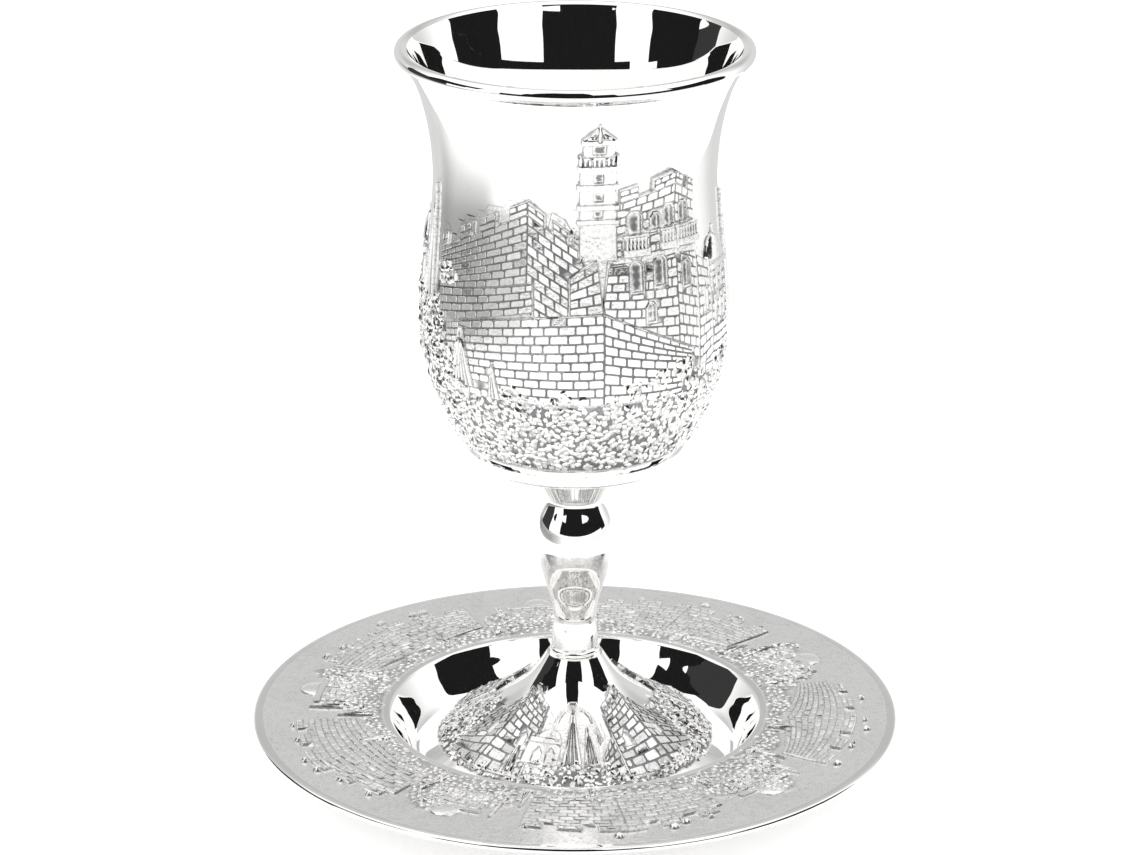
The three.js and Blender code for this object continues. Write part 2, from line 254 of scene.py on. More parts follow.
def cut(shape, normal, offset):
    """The part of a convex outline where normal . p >= offset."""
    side = shape @ normal - offset
    if side.min() >= 0:
        return shape
    if side.max() <= 0:
        return shape[:0]
    rows = []
    for i in range(len(shape)):
        j = (i + 1) % len(shape)
        if side[i] >= 0:
            rows.append(shape[i])
        if side[i] * side[j] < 0:
            rows.append(shape[i] + (shape[j] - shape[i]) * (side[i] / (side[i] - side[j])))
    return np.array(rows)


def inset(shape, width):
    """A convex outline moved inwards by width, or outwards where it is negative."""
    edge = np.roll(shape, -1, 0) - shape
    edge /= np.maximum(np.linalg.norm(edge, axis=1), 1e-9)[:, None]
    inward = np.stack([-edge[:, 1], edge[:, 0]], 1)
    before = np.roll(inward, 1, 0)
    lean = 1 + (inward * before).sum(1)
    return shape + width * (inward + before) / np.maximum(lean, 0.3)[:, None]


def blunted(shape, width):
    """A convex outline with its corners cut off."""
    after = np.roll(shape, -1, 0) - shape
    length = np.maximum(np.linalg.norm(after, axis=1), 1e-9)
    share = (np.minimum(width, length * 0.3) / length)[:, None]
    rows = np.stack([shape + after * share, shape + after * (1 - share)], 1)
    return rows.reshape(-1, 2)


class Cell:
    """A convex patch of the plane, grown a little, that hides what lies behind it."""

    def __init__(self, shape, grow, open_edges=()):
        edge = np.roll(shape, -1, 0) - shape
        edge /= np.maximum(np.linalg.norm(edge, axis=1), 1e-9)[:, None]
        self.normals = np.stack([edge[:, 1], -edge[:, 0]], 1)
        growth = np.full(len(shape), grow)
        growth[list(open_edges)] = 0.01
        self.offsets = (self.normals * shape).sum(1) + growth
        self.low, self.high = shape.min(0) - grow, shape.max(0) + grow
        self.tight = (self.normals * shape).sum(1)

    def holds(self, points, extra=0.0):
        return (points @ self.normals.T <= self.offsets + extra).all(1)

    def covers(self, points):
        return (points @ self.normals.T <= self.tight + 1e-6).all(1)

    def beside(self, shape):
        """What is left of a convex outline next to this cell."""
        if (shape.min(0) >= self.high).any() or (shape.max(0) <= self.low).any():
            return shape
        best = shape[:0]
        size = 0.0
        for normal, offset in zip(self.normals, self.offsets):
            kept = cut(shape, normal, offset)
            if kept is shape:
                return shape
            if len(kept) > 2 and area(kept) > size:
                best, size = kept, area(kept)
        return best


# ---------------------------------------------------------------- the height field

class Relief:
    """A city in low relief over an unrolled surface, laid out from the nearest form to the farthest."""

    def __init__(self, face, first_bearing, segments, planting, mound, seed, rise, tilt, lift,
                 shades=(0.05, 0.16), shadow=1.0):
        self.face = face
        self.segments = segments
        self.planting = planting  # how planted the ground is at a bearing and a climb, from 0 to 1
        self.mound = mound  # height of the planted ground, in mm
        self.rise = rise  # of a stone, in mm
        self.tilt = tilt  # how unevenly the stones lie, as a slope
        self.lift = lift  # share of the heights given below
        self.shades = shades  # range of the tones of the stones
        self.shadow = shadow  # tone of joints and of the ground under leaves
        self.left = math.radians(first_bearing) * face.mean
        self.right = self.left + 2 * math.pi * face.mean
        self.low, self.high = face.rise[0], face.rise[-1]
        self.random = np.random.default_rng(seed)
        self.points, self.lifts, self.tones, self.links = [], [], [], []
        self.cells, self.layers, self.skirts = [], [], []
        self.turn_to()

    def turn_to(self, turn=0.0, side=1):
        """What is added next is turned to another bearing, and mirrored where side is -1."""
        self.turn, self.side = turn, side

    def bearing(self, bearing):
        return self.turn + self.side * bearing

    def flat(self, places):
        """Points of the plane for (bearing, climb) pairs."""
        return self.face.flat([[self.bearing(bearing), climb] for bearing, climb in places])

    def planted(self, points):
        return self.planting(*self.face.where(points))

    def ground(self, points):
        return self.mound * rolling(*self.face.where(points)) * self.planted(points)

    def near_unit(self, point):
        """Length in the plane of a millimetre on the surface."""
        return 1 / float(self.face.scale(point)[0])

    def hidden(self, points, extra=0.0):
        hidden = np.zeros(len(points), bool)
        for cell in self.cells:
            hidden |= cell.holds(points, extra)
        return hidden

    def add(self, points, lifts, tones):
        """Adds points and gives the number of the first."""
        first = len(self.points)
        self.points.extend(points)
        self.lifts.extend(np.broadcast_to(lifts, len(points)))
        self.tones.extend(np.broadcast_to(tones, len(points)))
        return first

    def skirt(self, points, tone):
        """Adds points that will lie on what is behind the present form."""
        self.skirts.append((len(self.layers), len(self.points), len(points)))
        return self.add(points, 0.0, tone)

    def ring(self, shape, lifts, tone, closed=True):
        first = self.add(shape, lifts, tone)
        count = len(shape)
        self.links.extend((first + i, first + (i + 1) % count) for i in range(count if closed else count - 1))

    def outline(self, edges, level, unit):
        """Crest and skirt along the edges that show: lists of (start, end) in the plane."""
        for start, end in edges:
            run = end - start
            length = np.linalg.norm(run)
            if length < 1e-6:
                continue
            out = np.array([run[1], -run[0]]) / length * (SKIRT * unit)
            count = max(1, math.ceil(length / (EDGE_STEP * unit)))
            share = np.linspace(0, 1, count + 1)[:, None]
            margin = run / length * (SKIRT * unit * CREST_END)
            apron = start + run * share + out * APRON
            apron = apron[~self.hidden(apron)]
            if len(apron):
                self.skirt(apron, APRON_TONE)
            crest = start + margin + (run - 2 * margin) * share - out * CREST
            foot = start + run * share + out
            for shape, raised in ((crest, True), (foot, False)):
                shown = ~self.hidden(shape)
                kept = shape[shown]
                if not len(kept):
                    continue
                # The foot of the skirt takes a dark tone: oxide and painted shade at the foot of the form.
                first = self.add(kept, level(kept), PLAIN_TONE) if raised else self.skirt(kept, FOOT_TONE)
                number = first + np.cumsum(shown) - 1
                self.links.extend(
                    (number[i], number[i + 1]) for i in range(len(shape) - 1) if shown[i] and shown[i + 1])

    def form(self, shape, level, cells=None, joined_edges=(), fill=0.0, stones=(), tone=PLAIN_TONE):
        """Adds a form: its outline, the convex cells that make it up, and its level over the plane."""
        shape = upright(shape)
        unit = self.near_unit(shape.mean(0))
        edges = [
            (shape[i], shape[(i + 1) % len(shape)]) for i in range(len(shape)) if i not in joined_edges
        ]
        self.outline(edges, level, unit)
        grow = (SKIRT + GAP) * unit
        own = [Cell(upright(cell), grow) for cell in cells] if cells else [Cell(shape, grow, joined_edges)]
        for stone, rise, shade in stones:
            self.stone(upright(stone), level, rise, shade, unit)
        if fill:
            self.filling(shape, own, level, fill * unit, tone)
        self.layers.append((own, level))
        self.cells.extend(own)

    def filling(self, shape, own, level, pitch, tone):
        low, high = shape.min(0), shape.max(0)
        rows = np.arange(low[1] + pitch / 2, high[1], pitch * ROW)
        points = []
        for number, up in enumerate(rows):
            across = np.arange(low[0] + pitch * (0.25 + 0.5 * (number % 2)), high[0], pitch)
            points.extend((x, up) for x in across)
        if not points:
            return
        points = np.array(points)
        inside = np.zeros(len(points), bool)
        shrink = (SKIRT + GAP) * self.near_unit(shape.mean(0)) + pitch * 0.3
        for cell in own:
            inside |= cell.covers(points)
        edge_free = inside & ~self.close_to_edges(points, shape, shrink * 0.6)
        kept = points[edge_free & ~self.hidden(points, pitch * 0.2)]
        self.add(kept, level(kept), tone)

    @staticmethod
    def close_to_edges(points, shape, distance):
        close = np.zeros(len(points), bool)
        for i in range(len(shape)):
            a, b = shape[i], shape[(i + 1) % len(shape)]
            run = b - a
            share = np.clip(((points - a) @ run) / max(run @ run, 1e-9), 0, 1)
            close |= np.linalg.norm(points - a - share[:, None] * run, axis=1) < distance
        return close

    def stone(self, shape, level, rise, shade, unit):
        """One stone of a wall: a raised convex outline with bevelled edges, cut by what stands before it."""
        for cell in self.cells:
            shape = cell.beside(shape)
            if len(shape) < 3:
                return
        outer = inset(shape, JOINT * unit)
        inner = inset(outer, BEVEL * unit)
        if area(inner) < LEAST_AREA * unit * unit or area(outer) < area(inner):
            return
        side, top_side = (np.linalg.norm(ring - np.roll(ring, 1, 0), axis=1).min() for ring in (outer, inner))
        if side < LEAST_SIDE * unit or top_side < LEAST_SIDE * 0.75 * unit:
            return
        if len(outer) == 4 and side > CUT_SIDE * unit:
            outer, inner = blunted(outer, CORNER * unit), blunted(inner, (CORNER - BEVEL / 2) * unit)
        lean = self.random.normal(0, self.tilt, 2) / unit
        self.ring(outer, level(outer), self.shadow)
        self.ring(inner, level(inner) + rise + (inner - inner.mean(0)) @ lean - self.sink(inner), shade)

    def sink(self, shape):
        """How far the points of a flat top lie below the turned surface raised to its outermost points."""
        left, right = shape[:, 0].min(), shape[:, 0].max()
        across = shape[:, 0] - (left + right) / 2
        face = self.face
        outward = np.interp(shape[:, 1], face.rise, face.side * face.normal[:, 0])
        bend = outward * face.scale(shape) / (2 * face.mean)
        return (((right - left) / 2) ** 2 - across ** 2) * bend

    # -- shapes

    def level_of(self, corners, lifts):
        """A level that leans evenly between the lifts given at some corners."""
        rows = np.c_[np.ones(len(corners)), corners]
        weights = np.linalg.lstsq(rows, np.array(lifts, float) * self.lift, rcond=None)[0]
        return lambda points: weights[0] + points @ weights[1:]

    def bulge(self, centre, half_width, edge, crown):
        return lambda points: self.lift * (edge + (crown - edge) * np.sqrt(
            np.clip(1 - ((points[:, 0] - centre) / half_width) ** 2, 0, 1)))

    def wall(self, places, lifts, rows, **masonry):
        """A wall face from its four corners: bottom left, bottom right, top right, top left."""
        corners = self.flat(places)
        self.courses(corners, self.level_of(corners, lifts), rows, **masonry)

    def courses(self, corners, level, rows, stone=3.0, joined_edges=(), arch=0.0):
        """Rows of stones between four corners. The rows rise by arch in the middle."""
        unit = self.near_unit(corners.mean(0))
        stones = []
        for row in range(rows):
            low, high = row / rows, (row + 1) / rows
            left = corners[0] + (corners[3] - corners[0]) * (low + high) / 2
            right = corners[1] + (corners[2] - corners[1]) * (low + high) / 2
            count = max(1, round(np.linalg.norm(right - left) / (stone * unit)))
            marks = (np.arange(count + 2) - 0.5 * (row % 2)) / count
            marks[1:-1] += self.random.uniform(-JOINT_SHIFT, JOINT_SHIFT, count) / count
            marks = np.clip(marks, 0, 1)
            for start, end in zip(marks[:-1], marks[1:]):
                if (end - start) * count < LEAST_SHARE:
                    continue
                rise = self.rise * self.random.uniform(*STONE_SPREAD)
                shade = self.random.uniform(*self.shades)
                stones.append((self.between(corners, start, end, low, high, arch * unit), rise, shade))
        steps = 6 if arch else 1
        rim = [self.between(corners, at, at, 0, 1, arch * unit)[2] for at in np.linspace(1, 0, steps + 1)]
        shape = np.array([corners[0], corners[1], *rim])
        sides = {0: [0], 1: [1], 2: list(range(2, steps + 2)), 3: [steps + 2]}
        edges = [edge for side in joined_edges for edge in sides[side]]
        if area(shape) < 0:
            shape = shape[::-1]
            edges = [(len(shape) - 2 - edge) % len(shape) for edge in edges]
        self.form(shape, level, joined_edges=edges, stones=stones)

    def rampart(self, places, lifts, rows, merlons, merlon_rise, stone=3.0, **masonry):
        """A wall with merlons on its top edge, each given by its start, its end and any edge it shares."""
        corners = self.flat(places)
        level = self.level_of(corners, lifts)
        (right, right_climb), (left, left_climb) = [(self.bearing(b), climb) for b, climb in places[2:]]
        for start, end, *shared in merlons:
            feet = [[at, left_climb + (right_climb - left_climb) * (at - left) / (right - left)]
                    for at in (self.bearing(start), self.bearing(end))]
            tops = [[at, climb + merlon_rise] for at, climb in feet]
            self.courses(self.face.flat([*feet, *reversed(tops)]), level, 2, stone, [0, *shared])
        self.courses(corners, level, rows, stone, **masonry)

    @staticmethod
    def between(corners, start, end, low, high, arch=0.0):
        def at(across, up):
            middle = np.array([0, arch * up * 4 * across * (1 - across)])
            return ((1 - across) * (1 - up) * corners[0] + across * (1 - up) * corners[1]
                    + across * up * corners[2] + (1 - across) * up * corners[3]) + middle
        return np.array([at(start, low), at(end, low), at(end, high), at(start, high)])

    def slab(self, places, lifts, fill=0.0, tone=PLAIN_TONE):
        """A plain raised convex patch."""
        shape = self.flat(places)
        self.form(shape, self.level_of(shape, lifts), fill=fill, tone=tone)

    def block(self, left, right, low, high, lift, tone=0.0):
        """A polished raised patch between two bearings and two climbs."""
        self.slab(((left, low), (right, low), (right, high), (left, high)), [lift] * 4, tone=tone)

    def window(self, middle, half, low, shoulder, top, lift=0.3, wide=None):
        """A dark opening with a pointed head. Its half width is wide at the shoulder, if that is given."""
        wide = wide or half
        self.slab(((middle - half, low), (middle + half, low), (middle + wide, shoulder), (middle, top),
                   (middle - wide, shoulder)), [lift] * 5, tone=OPENING_TONE)

    def arched(self, left, right, low, shoulder, top, reach, lift, **finish):
        """A patch with a blunt arched head, which is flat as far as reach from its middle."""
        middle = (left + right) / 2
        self.slab(((left, low), (right, low), (right, shoulder), (middle + reach, top), (middle - reach, top),
                   (left, shoulder)), [lift] * 6, **finish)

    def dome(self, bearing, climb, half_width, rise, lift):
        """Half a flattened ball standing on its widest line. Half width and rise are in millimetres."""
        foot = self.flat([(bearing, climb)])[0]
        unit = self.near_unit(foot)
        wide, high = half_width * unit, rise * unit
        turns = np.linspace(0, math.pi, 15)
        shape = foot + np.stack([wide * np.cos(turns), high * np.sin(turns)], 1)

        def level(points):
            off = (points - foot) / [wide, high]
            return self.lift * lift * (0.25 + 0.75 * np.sqrt(np.clip(1 - (off ** 2).sum(1), 0, 1)))
        self.form(shape, level, fill=0.42)

    def cypress(self, bearing, foot, top, half_width, lift, grooves=4):
        """A pointed tree with creases that run from its tip. Half width is in millimetres."""
        base, tip = self.flat([(bearing, foot), (bearing, top)])
        unit = self.near_unit((base + tip) / 2)
        wide = half_width * unit
        level = self.bulge(base[0], wide * 1.15, lift * 0.55, lift)
        length = np.linalg.norm(tip - base)
        for number, mark in enumerate(np.linspace(-1, 1, 2 * grooves + 1)[1:-1]):
            ridge = number % 2 == 0
            reach = 0.9 if number == grooves - 1 else 0.62 + 0.16 * ridge
            share = np.linspace(0.02, reach, max(3, round(length * reach / (0.9 * unit))))[:, None]
            line = (base + [mark * wide, 0]) * (1 - share) + (tip + [mark * wide * 0.1, 0]) * share
            line = line[~self.hidden(line)]
            if len(line) > 1:
                rise = self.rise * 0.8 if ridge else -self.rise * 1.1
                self.ring(line, level(line) + rise, RIDGE_TONE if ridge else CREASE_TONE, closed=False)
        shape = np.array([base - [wide, 0], base + [wide, 0], tip + [wide * 0.1, 0], tip - [wide * 0.1, 0]])
        self.form(shape, level)

    def tier(self, bearing, half_width, foot, top, edge, crown, sag=0.0, tone=PLAIN_TONE, fill=0.6):
        """A round storey of a tower: a band whose ends drop by sag, bulging in the middle."""
        (x, low), (_, high) = self.flat([(bearing, foot), (bearing, top)])
        unit = self.near_unit(np.array([x, low]))
        wide = half_width * unit
        marks = np.linspace(-1, 1, 7)
        drop = sag * unit * marks ** 2
        lower = np.stack([x + wide * marks, low - drop], 1)
        upper = np.stack([x + wide * marks, high - drop], 1)
        cells = [np.array([lower[i], lower[i + 1], upper[i + 1], upper[i]]) for i in range(6)]
        self.form(np.vstack([lower, upper[::-1]]), self.bulge(x, wide * 1.05, edge, crown), cells=cells,
                  fill=fill, tone=tone)

    # -- finishing

    def level_at(self, points, first_layer=0):
        lifts = self.ground(points)
        for cells, level in reversed(self.layers[first_layer:]):
            inside = np.zeros(len(points), bool)
            for cell in cells:
                inside |= cell.covers(points)
            if inside.any():
                lifts[inside] = level(points[inside])
        return lifts

    def settle_skirts(self):
        """Each skirt point takes the level of what lies behind the form that it belongs to."""
        for layer, first, count in self.skirts:
            points = np.array(self.points[first:first + count])
            self.lifts[first:first + count] = list(self.level_at(points, layer + 1))

    def grid(self, pitch):
        """Rows of points all over the surface, a pitch apart."""
        rows = []
        around = self.right - self.left
        up, number = self.low, 0
        while up < self.high:
            pace = pitch * self.near_unit(np.array([0, up]))
            up += pace * ROW
            number += 1
            if up > self.high - pace * 0.5:
                break
            count = max(8, round(around / pace))
            across = self.left + (np.arange(count) + 0.5 * (number % 2)) * around / count
            across = across[(across > self.left + pace * 0.4) & (across < self.right - pace * 0.4)]
            rows.append(np.stack([across, np.full(len(across), up)], 1))
        return np.vstack(rows)

    def open_ground(self, plain_pitch, planted_pitch, stipple=0.0):
        """Points over the ground that no form covers, closer where it is planted, and the border round it."""
        for pitch, wants_planted in ((plain_pitch, False), (planted_pitch, True)):
            points = self.grid(pitch)
            points = points[(self.planted(points) > LEAST_PLANTED) == wants_planted]
            if wants_planted:
                points = points + self.random.uniform(-GROUND_SHIFT, GROUND_SHIFT, points.shape) * pitch
            points = points[~self.hidden(points, pitch * 0.25)]
            margin = pitch * 0.3
            points = points[(points[:, 1] > self.low + margin) & (points[:, 1] < self.high - margin)]
            grain = self.random.uniform(-1, 1, len(points)) * (GROUND_GRAIN if wants_planted else stipple)
            dots = self.random.uniform(stipple * PIT_TONES[0], stipple * PIT_TONES[1], len(points))
            # Planted ground takes the dark tone of oxide and painted shade under the leaves; open ground is
            # stippled.
            self.add(points, self.ground(points) + grain, self.shadow * UNDER_LEAF_OXIDE_AND_SHADE if wants_planted else dots)
        self.border(stipple * SEAM_TONE)

    def border(self, seam_tone):
        """The two rims, with the corners of the turned part, and the seam where the relief's ends meet."""
        low, high = self.low, self.high
        across = self.left + np.arange(self.segments + 1) * (2 * math.pi * self.face.mean / self.segments)
        seam = np.linspace(low, high, round((high - low) / SEAM_STEP) + 1)[1:-1]
        border = np.vstack([
            np.stack([across, np.full(len(across), low)], 1),
            np.stack([np.full(len(seam), across[-1]), seam], 1),
            np.stack([across[::-1], np.full(len(across), high)], 1),
            np.stack([np.full(len(seam), across[0]), seam[::-1]], 1),
        ])
        at_left = np.stack([np.full(len(border), across[0]), border[:, 1]], 1)
        on_rim = (border[:, 1] == low) | (border[:, 1] == high)
        self.ring(border, np.where(on_rim, 0.0, self.ground(at_left)), np.where(on_rim, 0.0, seam_tone))

    def skin(self):
        """(corners in mm, triangles, tone of each corner, how planted each corner is)."""
        self.settle_skirts()
        flat = [Vector(point) for point in np.array(self.points)]
        corners, _, triangles, sources, _, _ = delaunay_2d_cdt(flat, self.links, [], 1, 1e-4)
        points = np.array([tuple(corner) for corner in corners])
        lifts = np.array([self.lifts[source[0]] if source else np.nan for source in sources])
        tones = np.array([self.tones[source[0]] if source else 0.5 for source in sources])
        made = np.isnan(lifts)
        if made.any():
            lifts[made] = self.level_at(points[made])
        lifts[(points[:, 1] < self.low + 1e-3) | (points[:, 1] > self.high - 1e-3)] = 0
        return (self.face.roll(points, lifts), np.array([tuple(t) for t in triangles]), tones,
                self.planted(points))


# ---------------------------------------------------------------- the city

TOWER_BEARING = 8.7
TOWER_HEAD = (  # half width; foot and top; rise at the edges and in the middle; drop of its ends; tone
    (1.15, 137.6, 139.3, 0.9, 1.05, 0.0, 0.9),
    (2.9, 137.2, 139.7, 0.5, 1.4, 0.2, PLAIN_TONE),
)
TOWER_BODY = (
    (3.9, 136.6, 137.2, 0.7, 1.8, 0.3, PLAIN_TONE),
    (3.9, 134.2, 135.1, 0.8, 1.9, 0.35, PLAIN_TONE),
    (0.8, 131.6, 133.2, 0.6, 0.7, 0.0, 0.9),
    (3.9, 130.2, 131.1, 0.8, 1.9, 0.35, PLAIN_TONE),
    (0.8, 127.7, 129.2, 0.6, 0.7, 0.0, 0.9),
    (3.9, 126.1, 126.9, 0.8, 1.9, 0.35, PLAIN_TONE),
    (0.75, 124.4, 125.6, 0.6, 0.7, 0.0, 0.9),
    (3.9, 123.2, 123.9, 0.8, 1.9, 0.35, PLAIN_TONE),
)


def tower(relief):
    """A round tower of storeys under cornices, from its point down."""
    middle = TOWER_BEARING
    relief.slab(((8.3, 140.2), (9.1, 140.2), (8.85, 143.4), (8.55, 143.4)), [0.9, 0.9, 0.7, 0.7])
    relief.tier(middle, 3.3, 139.7, 140.5, 0.6, 1.6, 0.25)
    relief.cypress(middle, 140.5, 142.6, 3.0, 1.3, grooves=6)
    for band in TOWER_HEAD:
        relief.tier(middle, *band)
    for post in np.arange(-3.4, 3.5, 0.85):
        relief.block(middle + (post - 0.17) * 2, middle + (post + 0.2) * 2, 135.2, 137, 1.45)
    for band in TOWER_BODY:
        relief.tier(middle, *band)
    for low, high in ((131.1, 134.2), (126.9, 130.2), (123.9, 126.1), (116.0, 123.2)):
        relief.tier(middle, 3.35, low, high, 0.45, 1.4, 0.3, fill=0.7)
    relief.tier(middle, 2.9, 135.1, 136.6, 0.4, 1.1, 0.3)


def city(relief, turn=0.0, side=1, framed=True):
    """Bastion, gatehouse, tower and lower wall round the bowl, nearest first."""
    relief.turn_to(turn, side)

    # Balconies of the gatehouse, with their balusters.
    for start, end, low in ((18.6, 28.4, 116.2), (33.8, 39.9, 116.7), (40.8, 52.6, 116.7)):
        for post in np.arange(start + 0.5, end - 0.3, 1.5):
            relief.block(post, post + 0.75, low + 1.5, low + 3.5, 1.75)
        relief.block(start, end, low + 3.5, low + 4.1, 1.85)
        relief.block(start - 0.3, end + 0.3, low, low + 1.4, 1.95)

    tower(relief)

    # Cypress before the lower wall.
    relief.cypress(-46, 88.4, 99.9, 2.75, 1.7, grooves=6)
    relief.cypress(-31.5, 87.2, 93.8, 1.1, 1.6, grooves=3)

    # Lower wall, folded back to the right.
    relief.wall(((-55, 86.8), (10.5, 86.8), (10.5, 105.1), (-55, 99.7)), [0.85, 1.15, 1.25, 0.8], 10,
                joined_edges=[1], arch=1.3)
    relief.wall(((10.5, 97.2), (48.5, 92.6), (48.5, 95.4), (10.5, 105.1)), [1.15, 0.6, 0.6, 1.25], 4,
                joined_edges=[0, 3], stone=2.8)
    relief.wall(((10.5, 93.4), (48.5, 89.4), (48.5, 92.6), (10.5, 97.2)), [1.15, 0.6, 0.6, 1.15], 2,
                joined_edges=[0, 2, 3], stone=2.8)
    relief.wall(((10.5, 86.8), (44, 86.8), (44, 89.9), (10.5, 93.4)), [1.1, 0.6, 0.6, 1.15], 3,
                joined_edges=[2, 3], stone=2.8)

    # Terrace over it, and the bastion's left face.
    relief.wall(((-61, 99.6), (-15.6, 105.4), (-15.8, 111), (-61.5, 105.9)), [0.6, 1.05, 1.0, 0.55], 4,
                joined_edges=[2], stone=3.0)
    relief.rampart(((-61.5, 105.9), (-18.2, 111), (-18.2, 124.6), (-63.2, 113.5)), [0.45, 1.2, 1.25, 0.4], 8,
                   ((-62.6, -58.6), (-50, -43.4), (-39.3, -31.6), (-25.8, -18.2, 1)),
                   merlon_rise=2.7, joined_edges=[0, 1])

    # Curtain between the bastion and the gatehouse.
    relief.wall(((-2, 104.9), (10.5, 105.1), (8.2, 116), (-2, 112.6)), [0.95, 0.95, 0.95, 0.95], 5, stone=2.6)

    # The bastion's right face.
    relief.rampart(((-18.2, 105.2), (7.8, 98), (7.8, 115.4), (-18.2, 124.6)), [1.2, 0.7, 0.7, 1.25], 10,
                   ((-18.2, -11.6, 3), (-8.5, -2.7), (-0.7, 4.6)), merlon_rise=2.4, joined_edges=[3],
                   stone=2.8)

    # Gatehouse: openings, string course, walls.
    for left, right, low, high in ((21.4, 25.5, 109.2, 114.6), (31.2, 35.1, 109.8, 115.0),
                                   (20.8, 25.2, 120.6, 124.4), (36.2, 39.4, 121.2, 125.0),
                                   (43.5, 46.9, 121.4, 125.0), (30.3, 33.2, 121.0, 123.8),
                                   (44.2, 47.2, 108.6, 113.2), (27.6, 30.0, 103.0, 106.2)):
        reach = (right - left) * 0.27
        relief.arched(left, right, low, high - 0.6, high, reach, 0.45, tone=1.0, fill=0.9)
        if framed:
            relief.arched(left - 0.7, right + 0.7, low - 0.4, high - 0.4, high + 0.5, reach * 1.3, 1.3,
                          tone=0.0)
    relief.slab(((14.6, 115.0), (40.4, 115.6), (40.4, 116.6), (14.6, 116.0)), [1.3, 1.8, 1.8, 1.3], tone=0.0)
    relief.slab(((40.4, 115.6), (53.4, 114.6), (53.4, 115.6), (40.4, 116.6)), [1.8, 1.2, 1.2, 1.8], tone=0.0)
    relief.rampart(((8.2, 98), (40.5, 95), (40.5, 129.6), (15.9, 126.8)), [0.7, 1.45, 1.5, 0.75], 18,
                   ((17.2, 24.7), (31, 40.5, 1)), merlon_rise=2.4, joined_edges=[1], stone=2.6)
    relief.rampart(((40.5, 95), (52, 93), (52, 126.4), (40.5, 129.6)), [1.45, 0.8, 0.8, 1.5], 17,
                   ((40.5, 44.7, 3), (47.7, 51.8)), merlon_rise=2.4, joined_edges=[3], stone=2.4)

    # House against the gatehouse.
    relief.slab(((56.2, 101.5), (59, 101.5), (59, 105.4), (57.6, 106.4), (56.2, 105.4)), [0.35] * 5, tone=0.8)
    relief.wall(((52, 90.5), (62.5, 92.5), (60.5, 111.2), (52, 113.6)), [1.05, 0.7, 0.7, 1.05], 11, stone=2.4)

    # Hill behind the bastion.
    relief.slab(((-10.5, 121), (3, 112), (2, 118.3), (-4, 123.6), (-9, 125)), [0.35] * 5, tone=0.6, fill=0.9)


def outskirts(relief):
    """What stands on the bowl between the two faces of the city."""
    relief.turn_to()
    for tree in ((-71.5, 98, 125.4, 1.5), (84, 98, 122.6, 1.5), (-76.6, 95, 111, 1.2), (89.5, 94, 110.5, 1.4),
                 (248, 97, 121, 1.5), (121, 95, 113, 1.5)):
        relief.cypress(*tree, lift=0.8)
    for left, right, dome in ((57, 77.5, 68), (96, 118, 107), (252, 274, 263)):
        for window in np.linspace(left + 3.5, right - 3.5, 4):
            relief.window(window, 1.1, 98.4, 101.8, 102.9)
        for window in np.linspace(left + 5.5, right - 5.5, 3):
            relief.block(window - 0.8, window + 0.8, 104.6, 107.4, 0.3, tone=OPENING_TONE)
        relief.block(left - 0.6, right + 0.6, 109.0, 110.1, 1.15)
        relief.wall(((left, 89), (right, 89), (right, 109), (left, 109)), [0.75, 0.75, 0.8, 0.8], 12,
                    stone=2.5)
        relief.tier(dome, 0.35, 115.6, 117.6, 0.4, 0.6)
        relief.dome(dome, 111.0, 4.4, 5.0, 1.5)
        relief.tier(dome, 4.7, 110.1, 111.0, 0.4, 1.2)


def foot_town(relief, turn=0.0, side=1):
    """Two blocks of wall, a domed hall and cypresses round the foot. Climb counts inwards from its edge."""
    relief.turn_to(turn, side)
    for tree in ((-1.5, 8.4, 20.6, 1.35, 1.3), (8.6, 8.6, 16.6, 1.25, 1.3), (-31.8, 5.6, 11.4, 1.2, 1.5),
                 (84, 6, 13.6, 1.3, 1.1)):
        relief.cypress(*tree)
    for window in (-20.6, -13.4):
        relief.window(window, 2.0, 9.0, 10.9, 12.0, wide=2.2)
    relief.slab(((-27.5, 13.0), (-8.5, 13.0), (-8.3, 13.8), (-27.7, 13.8)), [1.1] * 4, tone=0.0)
    relief.slab(((-27, 8.6), (-9, 8.6), (-8.5, 13.0), (-27.5, 13.0)), [0.85] * 4, fill=0.8)
    relief.dome(-17, 13.9, 2.5, 2.7, 1.3)
    for way in (1, -1):
        relief.turn_to(turn, side * way)
        for window in (33, 57):
            relief.window(window, 1.7, 11.6, 13.6, 14.4, lift=0.4, wide=1.8)
        relief.rampart(((25, 5.4), (48, 4.9), (49.5, 21.4), (24.5, 18.6)), [0.7, 1.3, 1.5, 0.8], 10,
                       ((26, 31), (34.5, 40), (43.5, 49.5, 1)), 1.5, 2.4, joined_edges=[1])
        relief.rampart(((48, 4.9), (69, 5.4), (71.5, 13.6), (49.5, 21.4)), [1.3, 0.7, 0.7, 1.5], 10,
                       ((49.5, 53.5, 3), (57.5, 62.5), (66.5, 71.2)), 1.5, 2.4, joined_edges=[3])
        relief.wall(((14.5, 6.4), (25, 6.2), (24.5, 14.4), (15.6, 10.4)), [0.6, 0.7, 0.8, 0.6], 5, stone=2.2)


